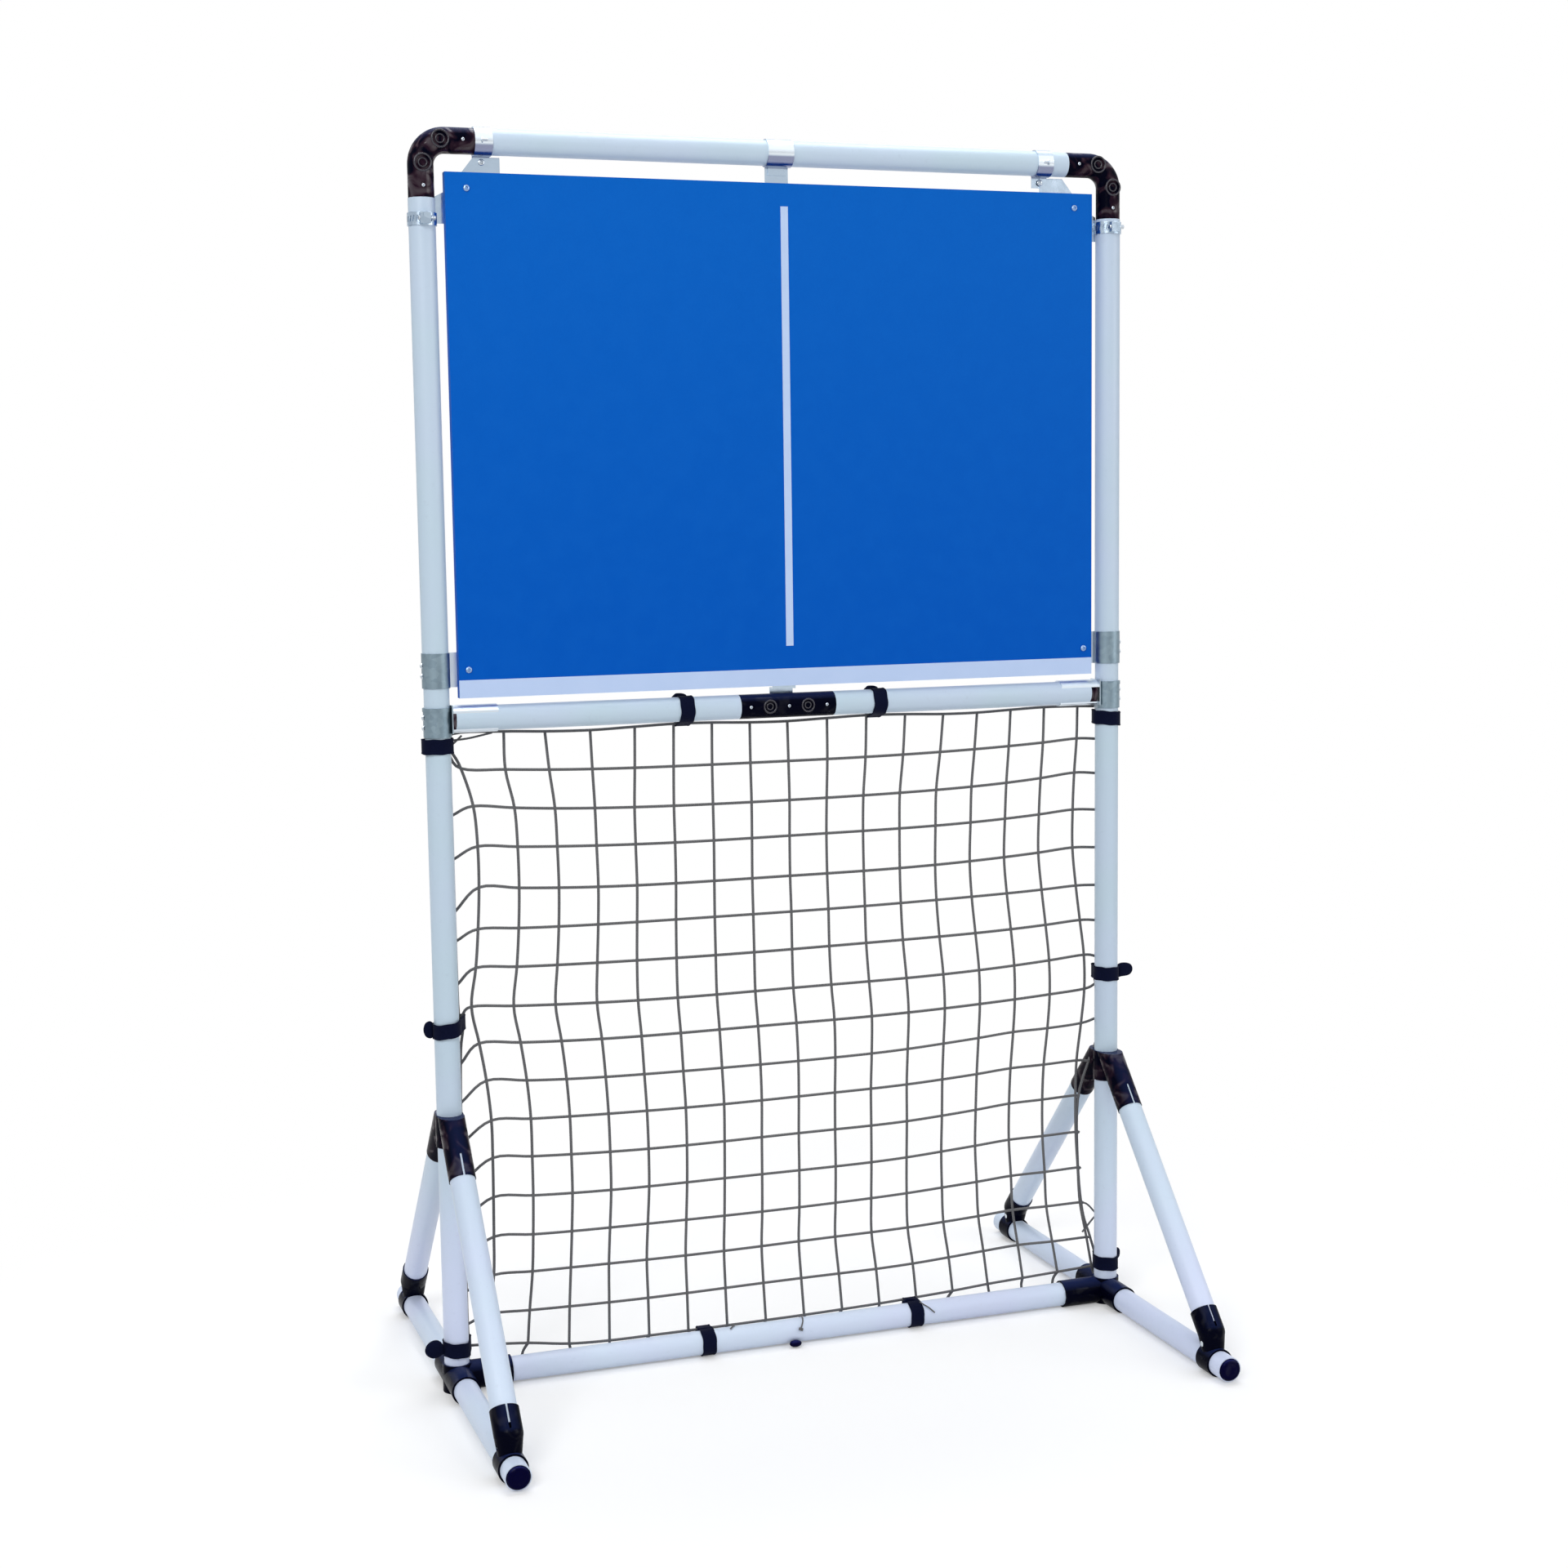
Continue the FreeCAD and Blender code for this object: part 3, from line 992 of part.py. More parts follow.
def build():
    upper = f"({BOARD_TOP} - upper_bolt_drop)"
    lower = f"({SPLICE} - board_clamp_height / 2)"
    upper_place, lower_place = f"({SIDE} - upper_bolt_inset)", f"({SIDE} - lower_bolt_inset)"
    strap_places = [f"(left_strap_inset - {SIDE})", f"({SIDE} - right_strap_inset)"]
    bolts = {}
    for side, sign in (("left", "-1"), ("right", "1")):
        bolts[side, "upper"] = board_bolt(f"{sign} * {upper_place}", upper, PLATE_BACK)
        bolts[side, "lower"] = board_bolt(f"{sign} * {lower_place}", lower, PLATE_BACK)
    holes = [(f"{sign} * {across}", high) for sign in ("-1", "1")
             for across, high in ((upper_place, upper), (lower_place, lower))]
    screws, shanks = clamp_screws_left()
    front_screws = [band_screw(across) for across in strap_places]
    frame_tubes(shanks, [shank for screw, shank in front_screws])

    connector_screws = []
    for screw in elbow_shells():
        connector_screws += [screw, mirrored(screw)]
    coupler_screws, middle_shank = coupler_shells()
    connector_screws += coupler_screws
    base_connectors()
    brace_hubs()
    cross_bolt, cross_nut = foot_connectors()
    connector_screws += four_copies(cross_bolt)
    caps_and_plugs()

    stem_screws, stem_shanks = wood_screws("centre_strap_place", f"{BOARD_TOP} - stem_overlap / 2")
    rest_screws, rest_shanks = wood_screws(SHIFT, f"{BOARD_LOW} + rest_screw_rise")
    board(holes, stem_shanks + rest_shanks)

    rivet_high = f"{TOP} - rivet_drop"
    small_bolts = []
    nuts = [bolt[2] for bolt in bolts.values()]
    worms = []
    for index, (side, sign, strap_place, drop) in enumerate((
            ("left", "-1", strap_places[0], "left_clamp_drop"),
            ("right", "1", strap_places[1], "right_clamp_drop"))):
        band, worm, envelope = side_band(f"{sign} * {SIDE}", drop)
        ear_bolt, ear_shank, ear_nut = rear_bolt(strap_place, rivet_high, "board_back")
        node(f"side_clamp_{side}", band)
        node(f"corner_plate_{side}", corner_plate(sign, bolts[side, "upper"][1], ear_shank, envelope))
        node(f"top_bar_strap_{side}", end_strap(strap_place, ear_shank, front_screws[index][1]))
        worms.append(worm)
        small_bolts.append(ear_bolt)
        nuts.append(ear_nut)
    node("top_bar_strap_centre", centre_strap(stem_shanks))
    both_sides("tee_clamp", tee_clamp(shanks[:2]))
    both_sides("lower_board_clamp", board_clamp(shanks[2:], bolts["left", "lower"][1]))
    node("crossbar_centre_strap", rest_strap(rest_shanks, middle_shank))

    middle_nut = hex_nut("nut_radius", "low_nut_height", "screw_radius", (SHIFT, RING, "crossbar_height"),
                         BACK)
    nuts += [middle_nut] + four_copies(cross_nut)
    node("board_bolts", group([bolt[0] for bolt in bolts.values()]))
    node("hex_nuts", group(nuts))
    small = screws + [mirrored(screw) for screw in screws] + [screw for screw, shank in front_screws]
    node("clamp_screws", group(small + small_bolts + worms + stem_screws + rest_screws))
    node("connector_screws", group(connector_screws))
    net()
    ties()


def check_and_export():
    """Every object must be sound before anything is written."""
    doc.recompute()
    for item in doc.Objects:
        if "Invalid" in item.State or "Error" in item.State:
            raise RuntimeError(f"{item.Name} ({item.Label}) failed: {item.State}")
    os.makedirs("parts", exist_ok=True)
    for item in NODES:
        if item.Shape.isNull() or not item.Shape.isValid() or not item.Shape.Solids:
            raise RuntimeError(f"{item.Label} has no sound shape")
    for item in NODES:
        item.Shape.exportStep(f"parts/{item.Label}.step")
    print(len(NODES), "sub-parts,", sum(len(item.Shape.Solids) for item in NODES), "solids")


build()
check_and_export()
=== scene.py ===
# %% [markdown]
# This lesson dresses a pitch back rebounder: a white tube frame on two braced feet, with a blue
# board to hit against above and a slack net below. The solids come packed from CAD and stay where
# they are. Blender adds what a solid can't say: the soft net, the straps, the screw heads and the
# finish of every surface.

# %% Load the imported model
import json
import math

import bpy
import numpy as np
from mathutils import Matrix, Vector

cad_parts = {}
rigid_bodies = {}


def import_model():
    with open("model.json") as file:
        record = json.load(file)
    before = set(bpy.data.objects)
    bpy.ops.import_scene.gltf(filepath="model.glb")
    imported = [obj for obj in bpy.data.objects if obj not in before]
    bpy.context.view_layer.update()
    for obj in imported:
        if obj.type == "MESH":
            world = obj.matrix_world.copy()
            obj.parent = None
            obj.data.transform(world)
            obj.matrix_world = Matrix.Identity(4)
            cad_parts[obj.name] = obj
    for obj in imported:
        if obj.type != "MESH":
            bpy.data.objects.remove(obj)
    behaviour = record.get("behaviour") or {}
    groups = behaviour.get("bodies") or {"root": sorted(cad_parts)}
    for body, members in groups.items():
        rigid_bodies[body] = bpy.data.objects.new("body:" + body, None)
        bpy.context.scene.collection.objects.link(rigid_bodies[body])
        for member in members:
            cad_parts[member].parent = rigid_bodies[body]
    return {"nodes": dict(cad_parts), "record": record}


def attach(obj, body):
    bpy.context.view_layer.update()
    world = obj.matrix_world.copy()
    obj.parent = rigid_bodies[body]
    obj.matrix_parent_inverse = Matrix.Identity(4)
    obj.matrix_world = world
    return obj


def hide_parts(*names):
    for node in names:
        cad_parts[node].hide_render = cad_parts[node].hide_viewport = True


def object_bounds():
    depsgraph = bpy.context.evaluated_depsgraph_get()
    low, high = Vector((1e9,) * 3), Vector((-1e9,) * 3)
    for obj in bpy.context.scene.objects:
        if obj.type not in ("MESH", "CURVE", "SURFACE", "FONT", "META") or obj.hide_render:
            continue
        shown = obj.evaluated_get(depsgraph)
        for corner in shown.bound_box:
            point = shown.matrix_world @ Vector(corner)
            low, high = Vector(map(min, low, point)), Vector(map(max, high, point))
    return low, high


for spare in list(bpy.data.objects):
    bpy.data.objects.remove(spare)
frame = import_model()
packed_low, packed_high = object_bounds()
MM = 0.001
packed_size = tuple(round(v, 3) for v in packed_high - packed_low)
print(len(frame["nodes"]), "solids, overall size in metres", packed_size)

# %% [markdown]
# The picture was taken with a slightly long lens from the left and a little above the middle of
# the frame. A camera can be aimed by hand until it looks right, but here it was solved from the
# tubes' straight lines, so its place and its three axes are given as numbers.

# %% Camera
camera_data = bpy.data.cameras.new("camera")
camera_data.sensor_width = 36
camera_data.lens = 53.94
camera = bpy.data.objects.new("camera", camera_data)
camera_right = Vector((0.9426, -0.3340, -0.0136))
camera_up = Vector((0.0511, 0.1039, 0.9933))
camera_back = Vector((-0.3303, -0.9369, 0.1149))
camera.matrix_world = Matrix.Translation((-1.0290, -2.8964, 1.1172)) @ Matrix(
    (camera_right, camera_up, camera_back)).transposed().to_4x4()
bpy.context.collection.objects.link(camera)
bpy.context.scene.camera = camera
print("camera", round(camera.location.length, 2), "m from the foot of the frame")

# %% [markdown]
# Colours are written as the hex values a paint shop would use. Blender's sockets take linear
# light, so one function turns them. Others add a node to a material, with its settings and what
# goes into it. Three kinds of node come so often that each has a short form of its own: blending
# two colours, stretching a value from one range to another, and sums.

# %% Helpers for materials


def linear(code):
    """An sRGB hex colour as the linear values that a socket takes."""
    parts = [int(code[i:i + 2], 16) / 255 for i in (0, 2, 4)]
    return (*(p / 12.92 if p <= 0.04045 else ((p + 0.055) / 1.055) ** 2.4 for p in parts), 1.0)


def add_node(tree, kind, inputs=None, **settings):
    """Adds one node, sets it, and fills its inputs with values or with other nodes' outputs."""
    made = tree.nodes.new("ShaderNode" + kind)
    for name, value in settings.items():
        setattr(made, name, value)
    for name, source in (inputs or {}).items():
        if isinstance(source, bpy.types.NodeSocket):
            tree.links.new(source, made.inputs[name])
        else:
            made.inputs[name].default_value = source
    return made


def blend(tree, share, first, second):
    """Two colours mixed; share is how much of the second."""
    return add_node(tree, "Mix", {0: share, 6: first, 7: second}, data_type="RGBA").outputs[2]


def remap(tree, value, before=(0.0, 1.0), after=(0.0, 1.0)):
    """A value stretched from one range to another, and held at its ends."""
    ends = {"From Min": before[0], "From Max": before[1], "To Min": after[0], "To Max": after[1]}
    return add_node(tree, "MapRange", {"Value": value, **ends}).outputs["Result"]


def calculate(tree, operation, *values):
    """The result of a sum with one or two values."""
    return add_node(tree, "Math", dict(enumerate(values)), operation=operation).outputs[0]


def start_material(name, roughness, metallic=0.0):
    """A material with its shader and the coordinates in metres that its patterns use."""
    material = bpy.data.materials.new(name)
    material.use_nodes = True
    tree = material.node_tree
    shader = tree.nodes["Principled BSDF"]
    shader.inputs["Roughness"].default_value = roughness
    shader.inputs["Metallic"].default_value = metallic
    place = add_node(tree, "TexCoord").outputs["Object"]
    return material, tree, shader, place


def per_metre(size_mm):
    """How many features of this size fit in a metre: a texture's scale."""
    return 1000 / size_mm


# %% [markdown]
# The frame is steel tube with a sprayed and baked powder coat: a satin pale white with a faint
# orange peel, cool above. Near the floor it is painted lighter and lilac: painted bounce light
# from the floor. The real peel is about 1.5 mm across, too fine for this picture, so it is drawn
# at 4 mm.

# %% Powder-coated steel
powder_coat, tree, shader, place = start_material("powder_coated_steel", 0.34)
cloud = add_node(tree, "TexNoise", {"Vector": place, "Scale": per_metre(170), "Detail": 2.0})
dust = add_node(tree, "TexNoise", {"Vector": place, "Scale": per_metre(9), "Detail": 5.0, "Roughness": 0.7})
tone = remap(tree, cloud.outputs["Fac"], (0.38, 0.62))
cool = blend(tree, tone, linear("BFD3E0"), linear("C2D2E4"))
# the lighter lilac pair is painted bounce light from the floor, full below 0.1 m and gone above 0.42 m
floor_light_lilac = blend(tree, tone, linear("D3E1F3"), linear("D4DDF5"))
height = add_node(tree, "SeparateXYZ", {"Vector": place})
upward = remap(tree, height.outputs["Z"], (0.1, 0.42))
paint = blend(tree, upward, floor_light_lilac, cool)
specks = remap(tree, dust.outputs["Fac"], (0.6, 0.75), (0.0, 0.16))
specks_and_floor_light = blend(tree, specks, paint, linear("9FA9BC"))
gloss = remap(tree, dust.outputs["Fac"], (0.0, 1.0), (0.28, 0.46))
peel = add_node(tree, "TexNoise", {"Vector": place, "Scale": per_metre(4), "Detail": 1.0})
skin_bump = add_node(tree, "Bump", {"Height": peel.outputs["Fac"], "Strength": 0.12, "Distance": 0.4 * MM})
tree.links.new(specks_and_floor_light, shader.inputs["Base Color"])
tree.links.new(gloss, shader.inputs["Roughness"])
tree.links.new(skin_bump.outputs["Normal"], shader.inputs["Normal"])
print("made", powder_coat.name)

# %% [markdown]
# Elbows, couplers, hubs and feet are injection-moulded ABS, in black. A polished mould gives
# plastic with slow ripples where thick and thin walls cooled unevenly, and some places took the
# mould's polish better than others, so only these have a glossy coat. The faces that look up are
# painted a lighter blue-grey, a painted reflection of the sky. High at the two sides the black
# leans to brown in patches, which are painted highlights. The line where the mould's halves met
# shows on the middle plane. The caps of the feet lean to navy, so one recipe makes both.

# %% Moulded ABS, black and navy


def moulded_abs(name, resin_colour, painted_brown_highlight, painted_sky_reflection):
    """ABS with slow ripples, glossy streaks, a parting line, a painted sky reflection on top and painted
    brown highlights at the sides.
    """
    material, tree, shader, place = start_material(name, 0.2)
    swirl = {"Vector": place, "Scale": per_metre(20), "Detail": 1.5, "Distortion": 1.2}
    flow = add_node(tree, "TexNoise", swirl)
    grain = add_node(tree, "TexNoise", {"Vector": place, "Scale": per_metre(2.5), "Detail": 3.0})
    # brown patches high at the two sides are painted highlights
    brown_highlight_share = remap(tree, flow.outputs["Fac"], (0.42, 0.58))
    along = add_node(tree, "SeparateXYZ", {"Vector": place})
    aside = calculate(tree, "ABSOLUTE", along.outputs["X"])
    outer = remap(tree, aside, (0.1, 0.4))
    high = remap(tree, along.outputs["Z"], (0.15, 0.45))
    outer = calculate(tree, "MULTIPLY", outer, high)
    brown_highlight_share = calculate(tree, "MULTIPLY", brown_highlight_share, outer)
    resin_and_painted_light = blend(tree, brown_highlight_share, linear(resin_colour), linear(painted_brown_highlight))
    # faces that look up turn blue-grey: a painted reflection of the sky
    facing = add_node(tree, "SeparateXYZ", {"Vector": add_node(tree, "NewGeometry").outputs["Normal"]})
    sky_facing_share = remap(tree, facing.outputs["Z"], (0.45, 1.0))
    resin_and_painted_light = blend(tree, sky_facing_share, resin_and_painted_light, linear(painted_sky_reflection))
    haze = remap(tree, grain.outputs["Fac"], (0.0, 1.0), (0.12, 0.34))
    from_middle = calculate(tree, "ABSOLUTE", along.outputs["Y"])
    parting = remap(tree, from_middle, (0.0, 0.5 * MM), (-1.2, 0.0))
    relief = calculate(tree, "ADD", flow.outputs["Fac"], parting)
    ripple = add_node(tree, "Bump", {"Height": relief, "Strength": 0.3, "Distance": 1.0 * MM})
    fine = add_node(tree, "Bump", {"Height": grain.outputs["Fac"], "Strength": 0.06, "Distance": 0.3 * MM,
                                   "Normal": ripple.outputs["Normal"]})
    tree.links.new(resin_and_painted_light, shader.inputs["Base Color"])
    tree.links.new(haze, shader.inputs["Roughness"])
    tree.links.new(fine.outputs["Normal"], shader.inputs["Normal"])
    shader.inputs["Specular IOR Level"].default_value = 0.02
    streak = remap(tree, flow.outputs["Fac"], (0.54, 0.7), (0.0, 0.7))
    share = remap(tree, outer, (0.0, 1.0), (0.15, 1.0))
    streak = calculate(tree, "MULTIPLY", streak, share)
    tree.links.new(streak, shader.inputs["Coat Weight"])
    shader.inputs["Coat Roughness"].default_value = 0.08
    shader.inputs["Coat IOR"].default_value = 1.7
    return material


# the second colour is the painted brown highlight, the third the painted sky reflection on faces that look up
moulded_black = moulded_abs("moulded_black_abs", "030414", "2C1A26", "1E2850")
cap_navy = moulded_abs("moulded_navy_abs", "05042A", "0A0838", "1C2158")
print("made", moulded_black.name, "and", cap_navy.name)

# %% [markdown]
# The lips of the bosses stand highest and catch the light. Their edge is painted a paler grey,
# a painted highlight, with scratches of about a millimetre.

# %% ABS lips with a painted highlight
highlit_lip_black, tree, shader, place = start_material("highlit_lip_black_abs", 0.25)
scratch = add_node(tree, "TexNoise", {"Vector": place, "Scale": per_metre(1.2), "Detail": 4.0})
# the paler grey on the lips is a painted highlight, broken up by the scratches
painted_lip_highlight = blend(tree, scratch.outputs["Fac"], linear("100F17"), linear("3A3743"))
score = add_node(tree, "Bump", {"Height": scratch.outputs["Fac"], "Strength": 0.2, "Distance": 0.2 * MM})
tree.links.new(painted_lip_highlight, shader.inputs["Base Color"])
tree.links.new(score.outputs["Normal"], shader.inputs["Normal"])
print("made", highlit_lip_black.name)

# %% [markdown]
# Clamps and straps are pressed from galvanised sheet. Zinc freezes on hot steel in crystals,
# the spangle, each with its own brightness. The straps at the top stay bright. The deep sleeves
# lower down get a darker grey-green copy, painted shade, and it is rougher, so the same recipe
# makes two materials. Inside the uprights, where the crossbar lies on the clamps' tongues, a paler
# zinc is a painted sky reflection, and the straps round the top bar get a painted white highlight
# near its middle and painted violet-grey shade below.

# %% Galvanised sheet, bright and with painted shade
# where a clamp's tongue ends, in metres from the middle, and the top straps' painted highlight and painted
# shade by height in mm
TONGUE_END = (0.446, 0.449)
STRAP_PAINTED_LIGHT = {1560.5: "8C92AC", 1574.5: "F0F7FC"}


def galvanised(name, light, dark, painted_tongue_reflection, roughness):
    """Spangled zinc with crystals about 6 mm across, faint press marks and painted light on the tongues and
    top straps.
    """
    material, tree, shader, place = start_material(name, roughness, 1.0)
    crystal = add_node(tree, "TexVoronoi", {"Vector": place, "Scale": per_metre(6)})
    tone = add_node(tree, "SeparateColor", {"Color": crystal.outputs["Color"]})
    zinc = blend(tree, tone.outputs["Red"], linear(light), linear(dark))
    across = add_node(tree, "SeparateXYZ", {"Vector": place})
    off_middle = calculate(tree, "ABSOLUTE", across.outputs["X"])
    off_tongue_share = remap(tree, off_middle, TONGUE_END)
    # inside the uprights the tongues take a paler colour: a painted sky reflection
    zinc = blend(tree, off_tongue_share, linear(painted_tongue_reflection), zinc)
    # the top straps get painted violet-grey shade at 1560.5 mm and a painted white highlight at 1574.5 mm
    for middle, painted_tone in STRAP_PAINTED_LIGHT.items():
        above = calculate(tree, "ADD", across.outputs["Z"], -middle * MM)
        off_band = calculate(tree, "ABSOLUTE", above)
        past = remap(tree, off_band, (5 * MM, 8 * MM))
        zinc = blend(tree, past, linear(painted_tone), zinc)
    rub = add_node(tree, "TexNoise", {"Vector": place, "Scale": per_metre(14), "Detail": 4.0})
    gloss = remap(tree, rub.outputs["Fac"], (0.0, 1.0), (roughness - 0.14, roughness + 0.14))
    dent = add_node(tree, "Bump", {"Height": rub.outputs["Fac"], "Strength": 0.25, "Distance": 0.8 * MM})
    tree.links.new(zinc, shader.inputs["Base Color"])
    tree.links.new(gloss, shader.inputs["Roughness"])
    tree.links.new(dent.outputs["Normal"], shader.inputs["Normal"])
    return material


bright_zinc = galvanised("galvanised_sheet_bright", "C6D5E2", "A9B9C9", "C3D2E0", 0.22)
# the darker grey-green copy for the deep sleeves is painted shade, and it is rougher as well
dull_shaded_zinc = galvanised("galvanised_sheet_shaded", "8A9CA6", "7C8E99", "D9E2EA", 0.4)
print("made", bright_zinc.name, "and", dull_shaded_zinc.name)

# %% [markdown]
# The screws, bolts and nuts are steel with bright zinc plate. Tumbling in the plating barrel
# leaves them evenly shiny, with small scuffs on the edges. The bolts through the board are darker,
# blue-grey and a little rougher: the colour is a painted reflection of the blue board round them.

# %% Zinc-plated fasteners


def zinc_plate(name, light, dark, roughness):
    """Plated steel with scuffs of about a millimetre and a half."""
    material, tree, shader, place = start_material(name, roughness, 1.0)
    scuff = add_node(tree, "TexNoise", {"Vector": place, "Scale": per_metre(1.6), "Detail": 4.0})
    plate = blend(tree, scuff.outputs["Fac"], linear(light), linear(dark))
    gloss = remap(tree, scuff.outputs["Fac"], (0.0, 1.0), (roughness - 0.1, roughness + 0.14))
    tree.links.new(plate, shader.inputs["Base Color"])
    tree.links.new(gloss, shader.inputs["Roughness"])
    return material


plated_zinc = zinc_plate("zinc_plated_fastener", "D8E0E8", "A8AFB6", 0.26)
# the board bolts' darker blue is a painted reflection of the blue board
bolt_plate_blue_reflection = zinc_plate("zinc_bolt_blue_reflection", "A4BBDC", "7492BC", 0.36)
print("made", plated_zinc.name, "and", bolt_plate_blue_reflection.name)

# %% [markdown]
# The board is sheet material rolled with blue court paint. A foam roller leaves a fine even
# stipple. The paint looks a little lighter near the top and deeper below, so its colour follows
# the height. The stipple is about 2 mm, with slower patches of 25 mm where coats overlap.

# %% Rolled court paint
court_paint, tree, shader, place = start_material("rolled_court_paint", 0.5)
dabs = {"Vector": place, "Scale": per_metre(2.2), "Detail": 3.0, "Roughness": 0.6}
stipple = add_node(tree, "TexNoise", dabs)
patch = add_node(tree, "TexNoise", {"Vector": place, "Scale": per_metre(25), "Detail": 3.0})
height = add_node(tree, "SeparateXYZ", {"Vector": place})
upward = remap(tree, height.outputs["Z"], (0.9, 1.53))
wash = blend(tree, upward, linear("0056BB"), linear("0863C3"))
mottle = remap(tree, stipple.outputs["Fac"], (0.3, 0.7), (0.0, 0.2))
rolled = blend(tree, mottle, wash, linear("004EB2"))
overlap = remap(tree, patch.outputs["Fac"], (0.4, 0.65), (0.0, 0.1))
blue = blend(tree, overlap, rolled, linear("126ACA"))
gloss = remap(tree, patch.outputs["Fac"], (0.0, 1.0), (0.42, 0.62))
texture = add_node(tree, "Bump", {"Height": stipple.outputs["Fac"], "Strength": 0.3, "Distance": 0.25 * MM})
tree.links.new(blue, shader.inputs["Base Color"])
tree.links.new(gloss, shader.inputs["Roughness"])
tree.links.new(texture.outputs["Normal"], shader.inputs["Normal"])
shader.inputs["Specular IOR Level"].default_value = 0.05
print("made", court_paint.name)

# %% [markdown]
# The white line and the band along the board's foot are calendered PVC court tape, matte and
# slightly blue. Its embossed crepe is about 1.2 mm across and is drawn at 3 mm.

# %% PVC court tape
court_tape, tree, shader, place = start_material("pvc_court_tape", 0.55)
crepe = add_node(tree, "TexNoise", {"Vector": place, "Scale": per_metre(3), "Detail": 2.0})
grime = add_node(tree, "TexNoise", {"Vector": place, "Scale": per_metre(40), "Detail": 4.0})
tint = blend(tree, grime.outputs["Fac"], linear("C0D3F4"), linear("B4CAED"))
emboss = add_node(tree, "Bump", {"Height": crepe.outputs["Fac"], "Strength": 0.2, "Distance": 0.2 * MM})
tree.links.new(tint, shader.inputs["Base Color"])
tree.links.new(emboss.outputs["Normal"], shader.inputs["Normal"])
print("made", court_tape.name)

# %% [markdown]
# The net is of braided polyester, dark grey and three to four millimetres thick. Braiding shows
# as a fine herringbone. The mesh of a cord carries its length in its UV map, so two waves of
# opposite slope, crossed every 5 mm, draw the strands.

# %% Braided polyester cord
braided_cord, tree, shader, place = start_material("braided_polyester_cord", 0.8)
unrolled = add_node(tree, "UVMap", uv_map="along_and_round").outputs["UV"]
mark = add_node(tree, "SeparateXYZ", {"Vector": unrolled})
turns = calculate(tree, "MULTIPLY", mark.outputs["X"], 2 * math.pi * per_metre(5))
around = calculate(tree, "MULTIPLY", mark.outputs["Y"], 4 * math.pi)
right_lay = calculate(tree, "ADD", turns, around)
left_lay = calculate(tree, "SUBTRACT", turns, around)
right_wave = calculate(tree, "SINE", right_lay)
left_wave = calculate(tree, "SINE", left_lay)
braid = calculate(tree, "MULTIPLY", right_wave, left_wave)
strand = remap(tree, braid, (-1.0, 1.0))
yarn = blend(tree, strand, linear("525254"), linear("6C6C6E"))
weave = add_node(tree, "Bump", {"Height": strand, "Strength": 0.5, "Distance": 0.3 * MM})
tree.links.new(yarn, shader.inputs["Base Color"])
tree.links.new(weave.outputs["Normal"], shader.inputs["Normal"])
print("made", braided_cord.name)

# %% [markdown]
# The ties are nylon hook-and-loop strap, black, with a fuzzy loop face and a woven back. The fuzz
# scatters light at grazing angles, which is what sheen is for. The pile is 0.8 mm, drawn at 1.6.

# %% Hook-and-loop strap
loop_strap, tree, shader, place = start_material("hook_and_loop_strap", 0.85)
pile = add_node(tree, "TexNoise", {"Vector": place, "Scale": per_metre(1.6), "Detail": 4.0, "Roughness": 0.7})
nylon = blend(tree, pile.outputs["Fac"], linear("04071A"), linear("0D1330"))
fuzz = add_node(tree, "Bump", {"Height": pile.outputs["Fac"], "Strength": 0.7, "Distance": 0.5 * MM})
tree.links.new(nylon, shader.inputs["Base Color"])
tree.links.new(fuzz.outputs["Normal"], shader.inputs["Normal"])
shader.inputs["Sheen Weight"].default_value = 0.04
shader.inputs["Specular IOR Level"].default_value = 0.06
shader.inputs["Sheen Roughness"].default_value = 0.4
print("made", loop_strap.name)

# %% [markdown]
# The imported record says which finish each solid has. The two materials made from galvanised
# sheet share one name there, so the deep sleeves, with their painted shade, are picked out by
# their own names.

# %% Dress the solids
FINISHES = {"white_tube": powder_coat, "black_moulding": moulded_black, "galvanised_sheet": bright_zinc,
            "zinc_screw": plated_zinc, "board_blue": court_paint, "court_tape": court_tape,
            "net_cord": braided_cord, "tie_black": loop_strap}
# the deep sleeves, which get the darker copy with painted shade
SHADED_SLEEVES = ("tee_clamp_left", "tee_clamp_right", "lower_board_clamp_left", "lower_board_clamp_right")
for part in frame["record"]["subparts"]:
    solid = frame["nodes"][part["node"]]
    finish = dull_shaded_zinc if part["node"] in SHADED_SLEEVES else FINISHES[part["material_slot"]]
    for material_slot in solid.material_slots:
        material_slot.material = finish

# %% [markdown]
# Cords, straps, screws and caps all have a section that travels along a line, so one function
# skins a row of rings. It also writes a UV map with the way travelled, in metres, and the share
# of the way round, which the braid uses. Bezier curves with a bevel could do the cords alone.

# %% Helpers for pieces


